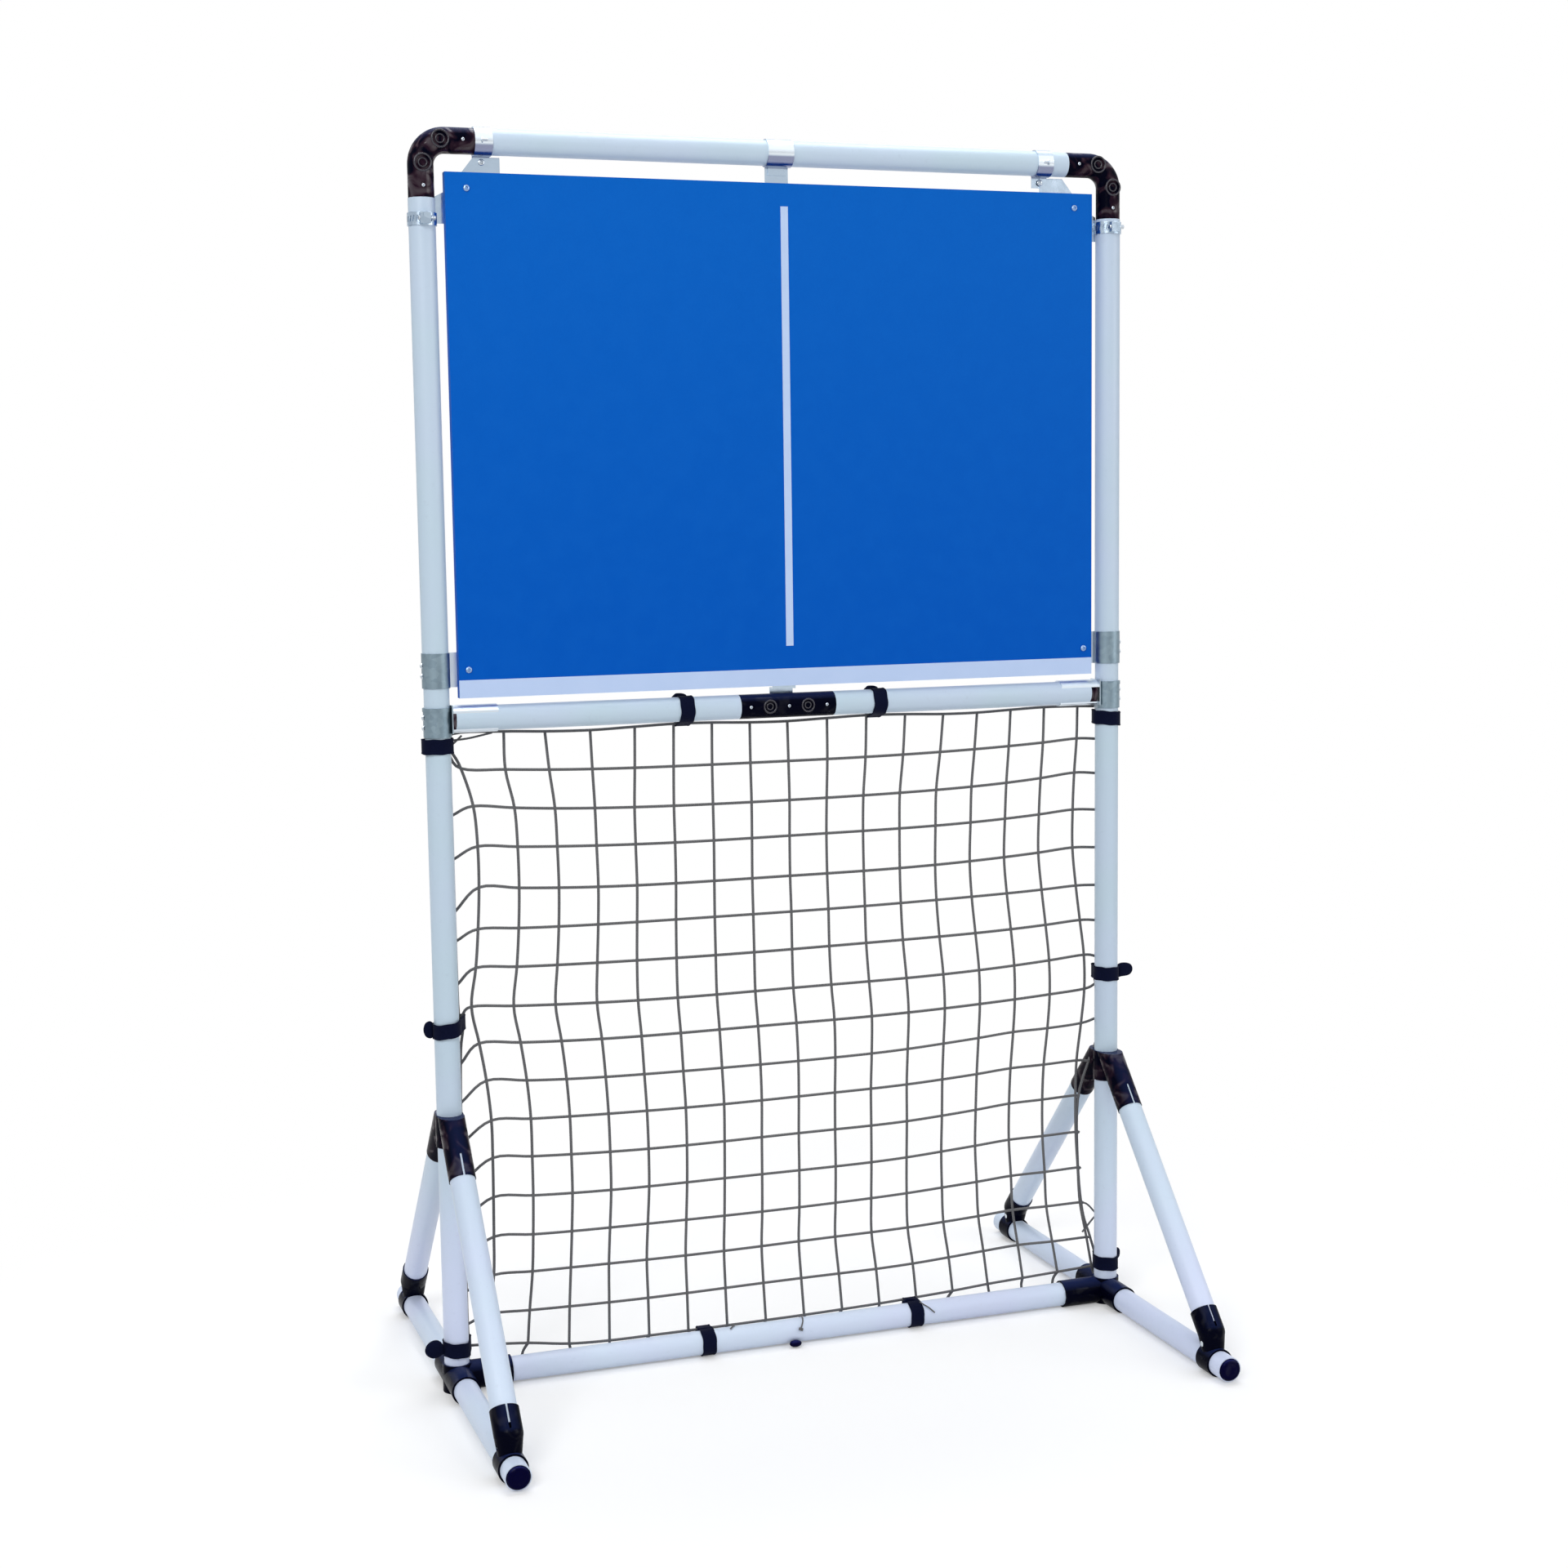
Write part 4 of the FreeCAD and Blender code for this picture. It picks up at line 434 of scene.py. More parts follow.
def skin(name, tubes, sharp_angle=50):
    """A closed mesh over each row of rings; a ring is a list of points."""
    points, faces, marks = [], [], []
    for rings in tubes:
        start, count, travelled = len(points), len(rings[0]), 0.0
        for ring in rings:
            points.extend(ring)
        for step in range(len(rings) - 1):
            ahead = travelled + (sum(rings[step + 1], Vector()) - sum(rings[step], Vector())).length / count
            for side in range(count):
                here, there = start + step * count, start + (step + 1) * count
                after = (side + 1) % count
                faces.append((here + side, here + after, there + after, there + side))
                marks += [(travelled, side / count), (travelled, (side + 1) / count),
                          (ahead, (side + 1) / count), (ahead, side / count)]
            travelled = ahead
        last = start + (len(rings) - 1) * count
        faces += [tuple(range(start + count - 1, start - 1, -1)), tuple(range(last, last + count))]
        marks += [(0.0, 0.0)] * count + [(travelled, 0.0)] * count
    mesh = bpy.data.meshes.new(name)
    mesh.from_pydata(points, [], faces)
    mesh.uv_layers.new(name="along_and_round").data.foreach_set("uv", [v for pair in marks for v in pair])
    mesh.validate()
    mesh.shade_smooth()
    mesh.set_sharp_from_angle(angle=math.radians(sharp_angle))
    piece = bpy.data.objects.new(name, mesh)
    bpy.context.collection.objects.link(piece)
    return piece


def set_in_place(piece, body, slot, *nodes):
    """Finishes a piece: its material, the body it rides on and the solids it stands for."""
    piece.data.materials.append(FINISHES[slot])
    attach(piece, body)
    if nodes:
        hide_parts(*nodes)
    print(piece.name, "rides on", body, "with", len(piece.data.polygons), "faces")
    return piece


def smooth_line(knots, steps):
    """A smooth line through the knots, with this many steps from each to the next."""
    ends = [2 * knots[0] - knots[1], *knots, 2 * knots[-1] - knots[-2]]
    line = []
    for before, here, there, after in zip(ends, ends[1:], ends[2:], ends[3:]):
        for step in range(steps):
            t = step / steps
            line.append((2 * here + (there - before) * t
                         + (2 * before - 5 * here + 4 * there - after) * t ** 2
                         + (3 * here - before - 3 * there + after) * t ** 3) / 2)
    return [*line, knots[-1]]


def rings_along(line, radius, sides=8):
    """Round rings square to a line, each turned as little as possible from the one before."""
    rings, across = [], None
    for i, point in enumerate(line):
        ahead = (line[min(i + 1, len(line) - 1)] - line[max(i - 1, 0)]).normalized()
        across = ahead.orthogonal() if across is None else across
        across = (across - ahead * across.dot(ahead)).normalized()
        other = ahead.cross(across)
        rings.append([point + radius * (math.cos(a) * across + math.sin(a) * other)
                      for a in (2 * math.pi * side / sides for side in range(sides))])
    return rings


# %% [markdown]
# The net hangs slack between the ties. A cloth simulation could find such a shape, but not this
# one: which crossing drifts where was set by how somebody tied it. So the crossings are placed
# by a few numbers: each row's height in the middle, how far it rises at the sides, and how far
# the columns drift sideways at ten heights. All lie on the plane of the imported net. Its two edges
# run behind the uprights, but low on the right the edge has come away from the upright and hangs
# free between the brace hub and the last tie.

# %% The net's crossings
NET_COLUMNS = 18
COLUMN_PITCH = 52
NET_BACK = 19
ROW_HEIGHT = [846.2, 790, 738, 690, 636, 588, 537, 484, 436, 384, 335, 284, 233, 182, 134, 82, 32.3]
SIDE_RISE = [0, 9, 13, 10, 11, 6, 7, 9, 9, 12, 9, 10, 9, 8, 5, 5, 0]
DRIFT_COLUMN = [1, 5, 9, 13, 17]
DRIFT_HEIGHT = [48, 123, 223, 323, 423, 473, 523, 623, 723, 823]
DRIFT = [(-6, 6, 17, 30, 36), (6, 4, 11, 16, 20), (9, 10, 13, 14, 11), (10, 10, 14, 15, 12),
         (0, 5, 13, 21, 24), (-14, 0, 9, 19, 26), (-7, 0, 7, 14, 20), (2, 2, 6, 7, 6),
         (1, 1, 6, 8, 8), (-26, 3, 5, 20, 14)]
EDGE_HEIGHT = [32.3, 56.5, 90, 130, 200, 290, 350, 378, 440, 471, 500, 790, 822, 846.2]
LEFT_EDGE = [-446, -445.5, -446, -446, -446, -446, -446, -446, -444, -440.5, -446, -447, -452, -446]
RIGHT_EDGE = [456, 459, 450, 438, 431, 431, 450, 460, 460, 456, 460, 461.5, 458.5, 458.5]
# how far each row's left end hangs below it, and how far its right end stands above it
LEFT_END = [0, -36, -4, 4, 17, 7, 12, 2, 14, 13, 17, 17, 17, 17, 12, 4, 0]
RIGHT_END = [0, 9, 13, 10, 11, 6, 7, 9, 18, 21, 9, 10, 9, 8, 5, 5, 0]
# the rows below this one bulge upward on the right, by so much at three places
LAST_STRAIGHT_ROW = 8
BULGE_AT = [150, 330, 425]
BULGE = [0, 5, 0]
# the top border sags in waves as long as the way from one crossbar tie to the other
TOP_SAG = 3.5
CROSSBAR_TIES = (-142, 125)
# how far the crossings lie before or behind the net's plane
RIPPLE = 1.3
# the bottom border's rise at places along it
BORDER_AT = [-446, -380, -343, -311, -250, -120, 0, 150, 250, 311, 355, 446]
BORDER_RISE = [17, 12, 7, 2, -1.5, -3, -2, 0.5, 4, 8, 9.5, 14]


def crossing(row, column):
    """Where a row and a column of the net meet."""
    height = ROW_HEIGHT[row]
    drift = [np.interp(column, DRIFT_COLUMN, level) for level in DRIFT]
    across = COLUMN_PITCH * (column - NET_COLUMNS / 2) + np.interp(height, DRIFT_HEIGHT, drift)
    rise = SIDE_RISE[row] * (abs(across) / 400) ** 3
    if row > LAST_STRAIGHT_ROW:
        rise += np.interp(across, BULGE_AT, BULGE)
    ripple = RIPPLE * math.sin(0.9 * column + 1.7 * row)
    if column in (0, NET_COLUMNS):
        rise = RIGHT_END[row] if column else -LEFT_END[row]
        across = np.interp(height + rise, EDGE_HEIGHT, RIGHT_EDGE if column else LEFT_EDGE)
        ripple = 0
    if row == 0:
        between = (across - CROSSBAR_TIES[0]) / (CROSSBAR_TIES[1] - CROSSBAR_TIES[0])
        rise -= TOP_SAG * math.sin(math.pi * between) ** 2
    if row == len(ROW_HEIGHT) - 1:
        rise = np.interp(across, BORDER_AT, BORDER_RISE)
    return Vector((across, NET_BACK + ripple, height + rise)) * MM


crossings = [[crossing(row, column) for column in range(NET_COLUMNS + 1)]
             for row in range(len(ROW_HEIGHT))]
print(len(crossings), "rows of", len(crossings[0]), "crossings")

# %% [markdown]
# Every row and column is one smooth cord through its crossings. The last row of meshes has
# dropped behind the bottom bar and crumpled there, so short tails and one wavy cord hang from the
# lower border. The sine waves that place them are fixed, so the net is the same on each run.

# %% The net
CORD_RADIUS = 1.9
STRAND_RADIUS = 0.7 * CORD_RADIUS
TAIL_RADIUS = 0.5 * CORD_RADIUS
BLOB_RADIUS = 3.1
CORD_STEPS = 5
TOP_CORNER = Vector((-450, 19, 826)) * MM
# two strands that the top corner's tie has drawn out of the border, and a slack loop by the foot
STRANDS = [[(-449, 827), (-441, 834), (-431, 843)], [(-451, 837), (-424, 839), (-392, 845)],
           [(431, 141), (444, 138), (455, 127), (459, 120), (452, 112), (438, 97)]]
# loose tails over the bottom bar: how far along it, and the angle from its top towards the front
BAR_TAILS = [[(8, -42), (7, 0), (5, 34), (0, 66)], [(-84, -20), (-91, 6), (-97, 24)],
             [(178, 14), (182, 34), (188, 52), (195, 76)]]
FOOT_AXIS = 17.9
TAIL_REACH = 18


def add_cord(knots, radius):
    """One more cord of the net: a smooth line through its knots."""
    cords.append(rings_along(smooth_line(knots, CORD_STEPS), radius * MM))


def on_net(across, height):
    """A point on the plane of the net."""
    return Vector((across, NET_BACK, height)) * MM


# the corner's tie pulls the border down and out of its even spacing
crossings[0][0] = TOP_CORNER
crossings[0][2].x += 6 * MM
columns = [list(column) for column in zip(*crossings)]
columns[1][0] = TOP_CORNER + Vector((5, 0, -2)) * MM
columns[0] = [*map(on_net, LEFT_EDGE[:-2], EDGE_HEIGHT), TOP_CORNER]
columns[-1] = [*map(on_net, RIGHT_EDGE, EDGE_HEIGHT)]
cords = []
for line in crossings + columns:
    add_cord(line, CORD_RADIUS)
for strand in STRANDS:
    add_cord([on_net(across, height) for across, height in strand], STRAND_RADIUS)
fallen = []
for column in range(1, NET_COLUMNS):
    top = crossings[-1][column]
    sway = 9 * math.sin(2.3 * column)
    middle = top + Vector((0.6 * sway, 5, -11)) * MM
    foot = top + Vector((sway, 4 + 1.5 * math.sin(1.1 * column), -23 + 5 * math.sin(3.1 * column))) * MM
    add_cord([top, middle, foot], CORD_RADIUS)
    fallen.append(foot)
    if column < NET_COLUMNS - 1:
        beside = Vector((COLUMN_PITCH / 2, 5 + math.sin(column), -26 + 4 * math.sin(1.9 * column))) * MM
        fallen.append(top + beside)
add_cord(fallen, CORD_RADIUS)
for tail in BAR_TAILS:
    turned = [(along, math.radians(angle)) for along, angle in tail]
    knots = [Vector((along, -TAIL_REACH * math.sin(a), FOOT_AXIS + TAIL_REACH * math.cos(a))) * MM
             for along, a in turned]
    add_cord(knots, TAIL_RADIUS)
blob = [Vector((0.5, -16.6, 26)) * MM, Vector((-1.0, -17.4, 22.5)) * MM]
cords.append(rings_along(blob, BLOB_RADIUS * MM))
set_in_place(skin("net_braided", cords), "frame", "net_cord", "net")

# %% [markdown]
# A tie goes round the tube and the net's border cord like a belt round a large and a small
# pulley. The belt's line is the outline of both circles together: for each direction the point
# that reaches farthest. Stepping along it at even distances keeps the strap's faces even.

# %% A belt's line
TUBE_RADIUS = 16
CORD_ROOM = 2.2
STRAP_HALF = 9.5
BELT_STEP = 1.6


def belt_line(cord):
    """Even points round a tube at the origin and a cord beside it, with their outward normals."""
    reach = []
    for degree in range(0, 361, 3):
        outward = Vector((math.cos(math.radians(degree)), math.sin(math.radians(degree))))
        round_tube, round_cord = TUBE_RADIUS * outward, Vector(cord) + CORD_ROOM * outward
        reach.append(max(round_tube, round_cord, key=lambda point: point.dot(outward)))
    gaps = [0.0, *np.cumsum([(b - a).length for a, b in zip(reach, reach[1:])])]
    even = np.linspace(0, gaps[-1], round(gaps[-1] / BELT_STEP) + 1)[:-1]
    x_reach, y_reach = [p.x for p in reach], [p.y for p in reach]
    line = [Vector((np.interp(g, gaps, x_reach), np.interp(g, gaps, y_reach))) for g in even]
    normals = [(line[(i + 1) % len(line)] - line[i - 1]).normalized() for i in range(len(line))]
    return line, [Vector((ahead.y, -ahead.x)) for ahead in normals]


print("a belt round an upright is", round(BELT_STEP * len(belt_line((19.5, 19))[0])), "mm long")

# %% [markdown]
# The strap's section is flat with thicker woven edges. Where an end stands off, both ends of the
# belt turn outward and are pressed together, and the loose end carries on from there as a piece
# of its own, because it bends on its own joint. The two ties at the top have no loose end: one
# end lies on the other, so their line goes round a little more than once and climbs.

# %% Strap bands
STRAP_SECTION = [(-9.5, 0.5), (-9.1, 0.1), (9.1, 0.1), (9.5, 0.5), (9.5, 1.4), (9.1, 1.8),
                 (7.9, 1.8), (7.3, 1.5), (-7.3, 1.5), (-7.9, 1.8), (-9.1, 1.8), (-9.5, 1.4)]
CROSSBAR_HEIGHT = 866
SIDE = 465
# a tie without a loose end goes round this often, and climbs by this much on a part of its way
TURNS = 1.3
CLIMB = 1.9
CLIMB_FROM = 0.86
CLIMB_OVER = 0.1
# how far a belt's last three places stand off, and the small waves in its lean
FLARE = (0.5, 0.3, 0.1)
LEAN_WAVE = 0.35
LEAN_RATE = 0.55
# name, where it is, its middle, the cord's offset, the loose end's root in the belt's plane,
# tilt and slack
TIES = [
    ("left_top", "left", 833, (11, 19.5), None, 0, -3.2),
    ("right_top", "right", 830, (6.5, 20), None, 1.5, -1.5),
    ("left_middle", "left", 473.5, (24.5, 19), (-19.6, 0), 2.2, 2.4),
    ("right_middle", "right", 473, (9, 20), (-19.6, 0), 0.6, 0.3),
    ("left_low", "left", 56.5, (19.5, 19), (-18.4, -6.7), -1.6, 1.8),
    ("right_low", "right", 57.5, (6, 20), (-16.1, 11.2), 1.0, 0.5),
    ("crossbar_left", "crossbar", -142, (19, -19.8), (13.9, 13.9), 0.8, 0.0),
    ("crossbar_right", "crossbar", 125, (19, -19.8), (13.9, 13.9), 0.8, 0.0),
    ("bottom_left", "bottom", -128, (19, 13.0), (6.15, 18.6), 0.5, 0.0),
    ("bottom_right", "bottom", 171, (19, 14.0), (6.15, 18.9), 0.5, 0.0),
]


def axes_at(where, middle):
    """A belt's origin and its directions: towards the cord, square to that, and along the tube."""
    x_axis, y_axis, z_axis = Vector((1, 0, 0)), Vector((0, 1, 0)), Vector((0, 0, 1))
    if where in ("left", "right"):
        side = -1 if where == "left" else 1
        return Vector((side * SIDE, 0, middle)), -side * x_axis, y_axis, z_axis
    height = CROSSBAR_HEIGHT if where == "crossbar" else FOOT_AXIS
    return Vector((middle, 0, height)), y_axis, z_axis, x_axis


def strap_rings(where, middle, cord, root, tilt, slack):
    """The rings of one band."""
    line, normals = belt_line(cord)
    count = len(line)
    if root is None:
        climbed = [(i - count * CLIMB_FROM) / (count * CLIMB_OVER) for i in range(round(count * TURNS))]
        order = [(i % count, CLIMB * min(1, max(0, share))) for i, share in enumerate(climbed)]
    else:
        start = min(range(count), key=lambda i: (line[i] - Vector(root)).length)
        order = [((start + i) % count, 0.0) for i in range(count + 1)]
    origin, first, second, along = axes_at(where, middle)
    rings = []
    for place, (i, climb) in enumerate(order):
        point, normal = line[i], normals[i]
        bulge = -point.y if slack > 0 else -point.x
        off = climb + abs(slack) * max(0, bulge / TUBE_RADIUS)
        if root is not None:
            ends = min(place, len(order) - 1 - place)
            off += FLARE[ends] if ends < len(FLARE) else 0
        lean = tilt * point.x / TUBE_RADIUS + LEAN_WAVE * math.sin(place * LEAN_RATE)
        ring = []
        for w, t in STRAP_SECTION:
            u, v = point.x + normal.x * (off + t), point.y + normal.y * (off + t)
            ring.append((origin + first * u + second * v + along * (w + lean)) * MM)
        rings.append(ring)
    return rings


bands = [strap_rings(*tie) for name, *tie in TIES]
set_in_place(skin("strap_bands", bands, 40), "frame", "tie_black", "net_tie_bands")

# %% [markdown]
# A loose end is two layers of strap pressed together, rounded off by hand with scissors. The
# fuzz makes it swell, each end by its own amount, and a groove round its edge shows that it is
# double. The longest, low on the left, is balled up, and those on the bars flop over to one side.
# Each turns about the line where it leaves its band, so it rides on a body of its own.

# %% Loose strap ends
# each end's direction, curl, length, half width, half thickness and shift along the tube
ENDS = {
    "left_middle": (180, -1.0, 12.0, 11.4, 3.2, 0.5),
    "right_middle": (178, 1.0, 23.5, 9.8, 3.2, 2.0),
    "left_low": (196, -1.0, 27.0, 11.8, 4.6, 4.0),
    "right_low": (152, 1.0, 19.5, 9.8, 2.4, 3.5),
    "crossbar_left": (112, 0.5, 8.5, 13.0, 3.8, -6.0),
    "crossbar_right": (112, 0.5, 8.5, 13.0, 3.8, -6.0),
    "bottom_left": (110, 0.5, 2.0, 11.4, 2.0, -4.5),
    "bottom_right": (92, 0.5, 4.4, 13.5, 2.4, -8.0),
}
END_SIDES = 20
END_SHARES = (0.0, 0.05, 0.12, 0.2, 0.3, 0.42, 0.55, 0.67, 0.77, 0.86, 0.93, 0.975, 1.0)
# an end longer than this is balled up
BALLED = 25
ROOT_INSET = 2.2
ROOT_HALF_THICK = 1.3
# the share of its length at which an end has its full width
GROWN_AT = 0.35
GROOVE = 0.95
DROOP = 0.9


def loose_end(where, middle, root, towards, curl, length, half_width, half_thick, shift):
    """One loose end: rings across it from its root to its tip."""
    origin, first, second, along = axes_at(where, middle)
    hinge = Vector(root)
    hinge -= hinge.normalized() * ROOT_INSET
    ahead = Vector((math.cos(math.radians(towards)), math.sin(math.radians(towards))))
    thick = Vector((-ahead.y, ahead.x))
    rings = []
    for share in END_SHARES:
        grown = math.sin(math.pi / 2 * min(1, share / GROWN_AT))
        rounding = math.sqrt(max(0.02, 1 - share ** (2 + length / 8)))
        if length > BALLED:
            rounding = max(0.65 if share < 0.5 else 0.14, math.sqrt(1 - (2 * share - 1) ** 2))
        wide = (STRAP_HALF + (half_width - STRAP_HALF) * grown) * rounding
        deep = (ROOT_HALF_THICK + (half_thick - ROOT_HALF_THICK) * grown) * rounding ** 0.7
        spot = hinge + ahead * length * share + thick * curl * share ** 2
        ring = []
        for side in range(END_SIDES):
            a = 2 * math.pi * side / END_SIDES
            groove = GROOVE if side in (0, END_SIDES // 2) else 1.0
            w = wide * groove * math.copysign(abs(math.cos(a)) ** 0.6, math.cos(a)) + shift * grown
            t = deep * math.copysign(abs(math.sin(a)) ** 0.75, math.sin(a))
            droop = DROOP * max(0, -w - STRAP_HALF) if where in ("crossbar", "bottom") else 0
            u = spot + thick * t - ahead * droop
            ring.append((origin + first * u.x + second * u.y + along * w) * MM)
        rings.append(ring)
    return rings


for name, where, middle, cord, root, tilt, slack in TIES:
    if root is not None:
        end = skin("strap_end_" + name, [loose_end(where, middle, root, *ENDS[name])], 60)
        set_in_place(end, "tab_" + name, "tie_black", "tie_tab_" + name)

# %% [markdown]
# The solids of the screws are plain. Real heads are domed, with a cross recess that catches a
# dark glint. Each screw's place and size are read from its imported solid: the loose parts of the
# mesh are told apart by their shared points, and a new screw is turned in each one's box.

# %% Find the fasteners


def loose_boxes(node):
    """The lowest and highest corner of each loose part of a solid."""
    mesh = frame["nodes"][node].data
    group = {}

    def top(key):
        while group[key] != key:
            key = group[key]
        return key

    keys = [tuple(round(c, 6) for c in vertex.co) for vertex in mesh.vertices]
    for key in keys:
        group[key] = key
    for edge in mesh.edges:
        group[top(keys[edge.vertices[0]])] = top(keys[edge.vertices[1]])
    parts = {}
    for key in keys:
        parts.setdefault(top(key), []).append(key)
    return [(Vector(map(min, zip(*part))), Vector(map(max, zip(*part)))) for part in parts.values()]


connector_boxes = loose_boxes("connector_screws")
clamp_boxes = loose_boxes("clamp_screws")
print(len(connector_boxes), "screws in the connectors,", len(clamp_boxes), "in the clamps")

# %% [markdown]
# A head is a dome of rings round its axis. Where a point of the dome falls inside the cross, it
# is pushed in, which is quicker and cleaner than cutting. A shank is two rings, since only its
# ends can be seen.

# %% Screws and bolts
HEAD_SIDES = 48
DOME_SHARES = (1.0, 0.99, 0.95, 0.88, 0.78, 0.68, 0.64, 0.6, 0.5, 0.4, 0.3, 0.2, 0.1, 0.02)
HEAD_EDGE = 0.97
DOME_RIM = 0.35
# a recess, as shares of the head's radius, and how deep it goes into the head
SOCKET_REACH = 0.46
CROSS_HALF = 0.16
CROSS_REACH = 0.62
RECESS_DEPTH = 0.75


def round_ring(centre, first, second, radius, sides):
    """A round ring of points in the plane of two directions."""
    angles = (2 * math.pi * side / sides for side in range(sides))
    return [centre + radius * (math.cos(a) * first + math.sin(a) * second) for a in angles]


def screw_rings(low, high, shank, head_height, head_radius=None, socket=False):
    """A cross-recessed or socket screw in its box, with its head to the front or the outer side."""
    size, middle = high - low, (low + high) / 2
    long_way = max(range(3), key=lambda i: size[i] if i != 2 else 0)
    out = Vector((0, -1, 0)) if long_way == 1 else Vector((math.copysign(1, middle.x), 0, 0))
    flat = Vector((0, 0, 1))
    other = out.cross(flat)
    tip = middle + out * size[long_way] / 2
    radius = head_radius or size.z / 2
    seat = tip - out * head_height
    # every screw was tightened to another angle, which follows from its place
    turn = 0.4 + 37 * abs(middle.x) + 11 * middle.z

    def ring(r, level, sunk=0.0):
        points = []
        for side in range(HEAD_SIDES):
            a = 2 * math.pi * side / HEAD_SIDES
            u, v = r * math.cos(a - turn), r * math.sin(a - turn)
            inside = r < SOCKET_REACH * radius
            if not socket:
                inside = min(abs(u), abs(v)) < CROSS_HALF * radius and r < CROSS_REACH * radius
            lift = level - (sunk if inside else 0)
            points.append(seat + out * lift + r * (math.cos(a) * flat + math.sin(a) * other))
        return points

    end = middle - out * size[long_way] / 2
    rings = [round_ring(end, flat, other, shank, HEAD_SIDES), ring(shank, 0), ring(radius * HEAD_EDGE, 0)]
    for share in DOME_SHARES:
        dome = head_height * (DOME_RIM + (1 - DOME_RIM) * math.sqrt(max(0, 1 - share ** 2)))
        rings.append(ring(radius * share, dome, RECESS_DEPTH * head_height))
    return rings


SCREW_SHANK = 2 * MM
SCREW_HEAD = 1.8 * MM
SCREW_HEAD_RADIUS = 2.2 * MM
BOLT_SHANK = 3 * MM
BOLT_HEAD = 2.6 * MM
BOLT_HEAD_RADIUS = 4.1 * MM
connector = [screw_rings(*box, SCREW_SHANK, SCREW_HEAD, SCREW_HEAD_RADIUS) for box in connector_boxes]
connector_heads = skin("cross_head_connector_screws", connector, 35)
set_in_place(connector_heads, "frame", "zinc_screw", "connector_screws")
bolts = [screw_rings(*box, BOLT_SHANK, BOLT_HEAD, BOLT_HEAD_RADIUS, True)
         for box in loose_boxes("board_bolts")]
board_bolts = skin("socket_head_board_bolts", bolts, 35)
set_in_place(board_bolts, "frame", "zinc_screw", "board_bolts")
board_bolts.data.materials[0] = bolt_plate_blue_reflection
WORM_LENGTH = 15 * MM
small = [screw_rings(low, high, SCREW_SHANK, SCREW_HEAD)
         for low, high in clamp_boxes if (high - low).x < WORM_LENGTH]
print(len(small), "small clamp screws and", len(clamp_boxes) - len(small), "worm screws")

# %% [markdown]
# The two side clamps are tightened by a worm screw that bites into the band's slots. Its thread
# is a ring that swells and shrinks along the way, and its head is a hexagon with a bevel.

# %% Worm screws
WORM_SIDES = 24
WORM_STEPS = 61
# shares of the screw's length where its head and the head's bevel start
HEAD_FROM = 0.74
BEVEL_FROM = 0.985
THREADS = 9
THREAD_MIDDLE = 0.86
THREAD_HEIGHT = 0.14
HEX_FLAT = 0.88


def worm_rings(low, high):
    """A worm screw along X: threads and a hexagon head on the outer side."""
    middle, size = (low + high) / 2, high - low
    out = math.copysign(1, middle.x)
    radius = size.z / 2
    rings = []
    for share in np.linspace(0, 1, WORM_STEPS):
        head = share > HEAD_FROM
        points = []
        for side in range(WORM_SIDES):
            a = 2 * math.pi * side / WORM_SIDES
            thread = THREAD_MIDDLE + THREAD_HEIGHT * math.sin(2 * math.pi * share * THREADS + a)
            hexagon = HEX_FLAT / math.cos((a + math.pi / 6) % (math.pi / 3) - math.pi / 6)
            r = radius * (min(1.0, hexagon) if head else thread)
            r *= 0.8 if share > BEVEL_FROM else 1
            points.append(middle + Vector((out * (share - 0.5) * size.x, r * math.sin(a), r * math.cos(a))))
        rings.append(points)
    return rings


worms = [worm_rings(low, high) for low, high in clamp_boxes if (high - low).x >= WORM_LENGTH]
set_in_place(skin("clamp_fasteners", small + worms, 35), "frame", "zinc_screw", "clamp_screws")

# %% [markdown]
# Each foot tube is closed by a pushed-in cap. It is a turned form: a plug that fills the tube, a
# rim and a low dome with a shallow ring in it, where the mould's ejector left its mark.

# %% Foot caps
CAP_PROFILE = [(14.8, -15), (14.8, 0), (13.9, 0.05), (13.9, 1.6), (13.5, 2.6), (12.6, 3.5),
               (11.2, 4.1), (9.4, 4.45), (8.9, 4.2), (8.3, 4.2), (7.8, 4.6), (5.0, 4.85),
               (2.0, 4.97), (0.2, 5.0)]
CAP_DEPTH = 5 * MM
CAP_SIDES = 40
caps = []
for low, high in loose_boxes("foot_end_caps"):
    outward = math.copysign(1, low.y)
    mouth = high.y - CAP_DEPTH if outward > 0 else low.y + CAP_DEPTH
    middle = (low + high) / 2
    first, second = Vector((outward, 0, 0)), Vector((0, 0, 1))
    rings = []
    for r, y in CAP_PROFILE:
        centre = Vector((middle.x, mouth + outward * y * MM, middle.z))
        rings.append(round_ring(centre, first, second, r * MM, CAP_SIDES))
    caps.append(rings)
foot_caps = set_in_place(skin("domed_foot_caps", caps, 45), "frame", "black_moulding", "foot_end_caps")
foot_caps.data.materials[0] = cap_navy

# %% [markdown]
# On the elbows and the coupler the mould left round bosses, each a raised ring with a smaller one
# inside it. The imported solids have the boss. The rounded lips of the rings, which catch the light,
# are added here. A little clip for the net's tail is stuck under the bottom bar.

# %% Boss lips and net clip
# how far across a boss is, its height and its radius
BOSSES = [(-443, 1572, 10.2), (-465, 1543, 10.2), (443, 1572, 10.2), (465, 1543, 10.2),
          (-30.65, 866, 8.2), (21.85, 866, 8.2)]
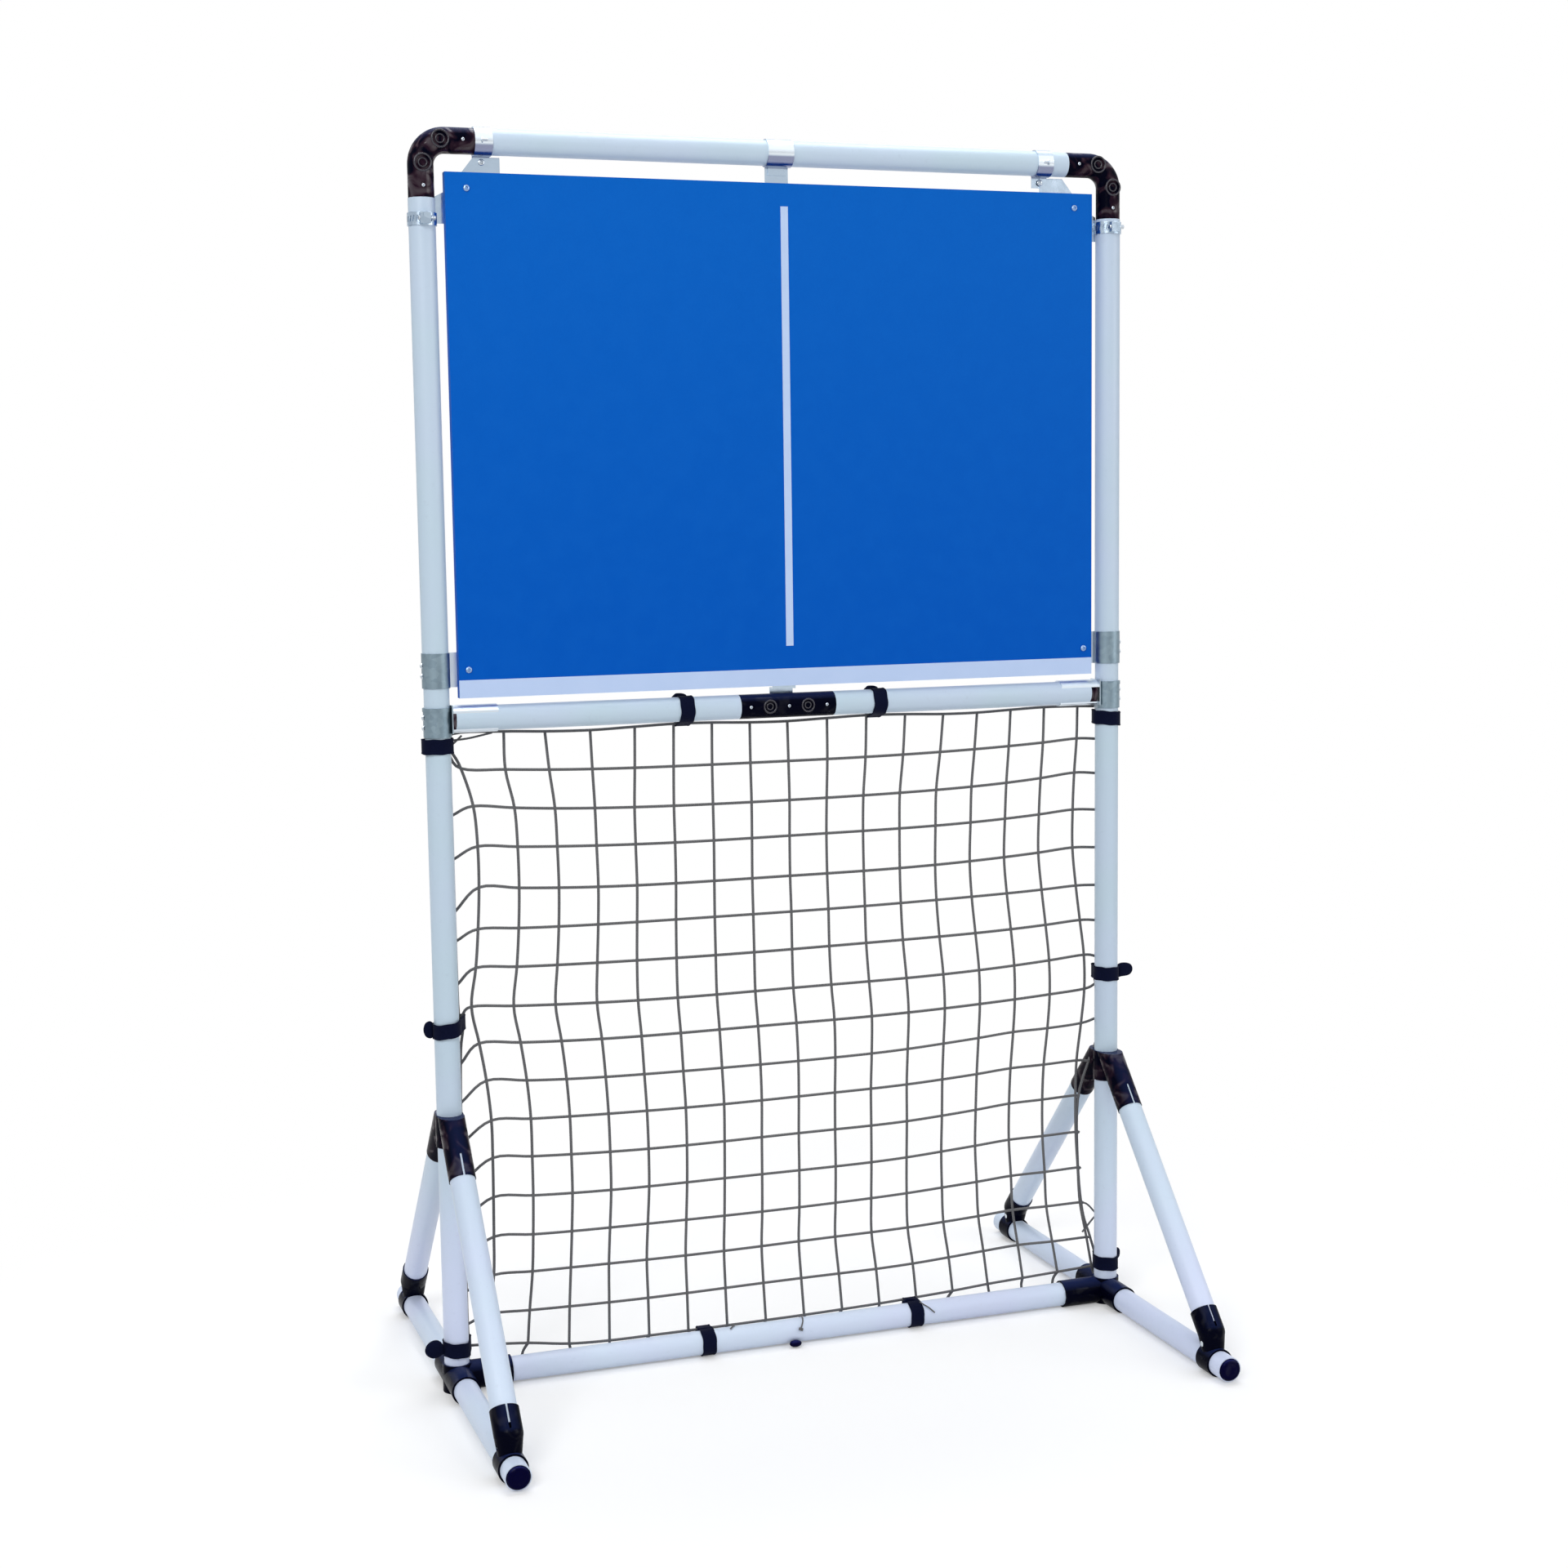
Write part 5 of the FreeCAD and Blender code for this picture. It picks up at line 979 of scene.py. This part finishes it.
# a lip's share of that radius, how far forward it lies and its own radius
LIPS = ((1.0, -15.6, 1.2), (0.5, -14.6, 1.0))
LIP_STEPS = 40
lips = []
for across, height, radius in BOSSES:
    for share, depth, lip in LIPS:
        circle = []
        for step in range(LIP_STEPS + 1):
            a = 2 * math.pi * step / LIP_STEPS
            x, z = across + share * radius * math.cos(a), height + share * radius * math.sin(a)
            circle.append(Vector((x, depth, z)) * MM)
        lips.append(rings_along(circle, lip * MM))
boss_lips = set_in_place(skin("moulded_boss_lips", lips), "frame", "black_moulding")
boss_lips.data.materials[0] = highlit_lip_black
CLIP_MIDDLE = Vector((-8.3, -17.4, 5.6))
CLIP_HALF = Vector((8.5, 6, 4.6))
CLIP_SIDES = 16
clip = []
for share in np.linspace(-0.99, 0.99, 13):
    bow = math.sqrt(1 - share ** 2)
    ring = []
    for side in range(CLIP_SIDES):
        a = 2 * math.pi * side / CLIP_SIDES
        offset = CLIP_HALF * Vector((share, bow * math.cos(a), bow * math.sin(a)))
        ring.append((CLIP_MIDDLE + offset) * MM)
    clip.append(ring)
tail_clip = set_in_place(skin("net_tail_clip", [clip]), "frame", "black_moulding")
tail_clip.data.materials[0] = cap_navy

# %% [markdown]
# The studio is a plain pale floor that runs out to white, so that only a soft shadow shows where
# the feet stand. To the camera, and in gloss, the floor glows a little, and past a metre or so it
# is plain white. To the light that falls on the object it is only a pale matte floor.

# %% Floor
REACH = 14.0
corners = [(-REACH, -REACH, 0), (REACH, -REACH, 0), (REACH, REACH, 0), (-REACH, REACH, 0)]
floor_mesh = bpy.data.meshes.new("floor")
floor_mesh.from_pydata(corners, [], [(0, 1, 2, 3)])
floor = bpy.data.objects.new("floor", floor_mesh)
bpy.context.collection.objects.link(floor)
floor_paint = bpy.data.materials.new("studio_floor")
floor_paint.use_nodes = True
tree = floor_paint.node_tree
tree.nodes.remove(tree.nodes["Principled BSDF"])
spot = add_node(tree, "NewGeometry").outputs["Position"]
squeezed = add_node(tree, "VectorMath", {0: spot, 1: (0.8, 1.0, 1.0)}, operation="MULTIPLY")
away = add_node(tree, "VectorMath", {0: squeezed.outputs["Vector"]}, operation="LENGTH")
edge = remap(tree, away.outputs["Value"], (0.55, 1.1))
matte = add_node(tree, "BsdfDiffuse", {"Color": (0.8, 0.8, 0.8, 1)})
glow = add_node(tree, "Emission", {"Strength": 0.25})
near = add_node(tree, "AddShader", {0: matte.outputs[0], 1: glow.outputs[0]})
white = add_node(tree, "Emission", {"Strength": 1.0})
seen_floor = add_node(tree, "MixShader", {0: edge, 1: near.outputs[0], 2: white.outputs[0]})
ray = add_node(tree, "LightPath")
shiny = calculate(tree, "MAXIMUM", ray.outputs["Is Camera Ray"], ray.outputs["Is Glossy Ray"])
seen = calculate(tree, "MAXIMUM", shiny, ray.outputs["Is Transmission Ray"])
pale = add_node(tree, "BsdfDiffuse", {"Color": (0.8, 0.8, 0.8, 1)})
floor_look = add_node(tree, "MixShader", {0: seen, 1: pale.outputs[0], 2: seen_floor.outputs[0]})
tree.links.new(floor_look.outputs[0], tree.nodes["Material Output"].inputs["Surface"])
floor_mesh.materials.append(floor_paint)
print("floor", 2 * REACH, "m wide")

# %% [markdown]
# A white sky lights everything softly, and two large soft lamps give the tubes a lit and a shaded
# side, with a third above for the tops. The levels are set so that a colour renders about as it is
# written.

# %% Light
world = bpy.data.worlds.new("studio")
world.use_nodes = True
bpy.context.scene.world = world
tree = world.node_tree
ray = add_node(tree, "LightPath")
shiny = calculate(tree, "MAXIMUM", ray.outputs["Is Camera Ray"], ray.outputs["Is Glossy Ray"])
seen = calculate(tree, "MAXIMUM", shiny, ray.outputs["Is Transmission Ray"])
sky = add_node(tree, "Background", {"Color": (0.95, 0.97, 1.0, 1), "Strength": 0.42})
backdrop = add_node(tree, "Background", {"Color": (1, 1, 1, 1), "Strength": 1.0})
heading = add_node(tree, "SeparateXYZ", {"Vector": add_node(tree, "TexCoord").outputs["Generated"]})
ceiling = remap(tree, heading.outputs["Z"], (0.0, 0.5), (0.7, 1.15))
mirrored = add_node(tree, "Background", {"Color": (0.93, 0.96, 1, 1), "Strength": ceiling})
glossy = ray.outputs["Is Glossy Ray"]
seen_room = add_node(tree, "MixShader", {0: glossy, 1: backdrop.outputs[0], 2: mirrored.outputs[0]})
both = add_node(tree, "MixShader", {0: seen, 1: sky.outputs[0], 2: seen_room.outputs[0]})
tree.links.new(both.outputs[0], tree.nodes["World Output"].inputs["Surface"])


def soft_lamp(name, place, aim, size, watts):
    """A square lamp that faces a point."""
    lamp = bpy.data.lights.new(name, "AREA")
    lamp.size = size
    lamp.energy = watts
    holder = bpy.data.objects.new(name, lamp)
    holder.location = place
    holder.rotation_euler = (Vector(aim) - Vector(place)).to_track_quat("-Z", "Y").to_euler()
    bpy.context.collection.objects.link(holder)


soft_lamp("key", (-2.6, -3.4, 3.4), (0, 0, 0.8), 2.0, 100)
soft_lamp("fill", (3.4, -2.6, 2.0), (0, 0, 0.8), 2.5, 35)
soft_lamp("top", (0.2, 0.6, 4.4), (0, 0, 0.8), 2.6, 85)
scene = bpy.context.scene
scene.view_settings.view_transform = "Standard"
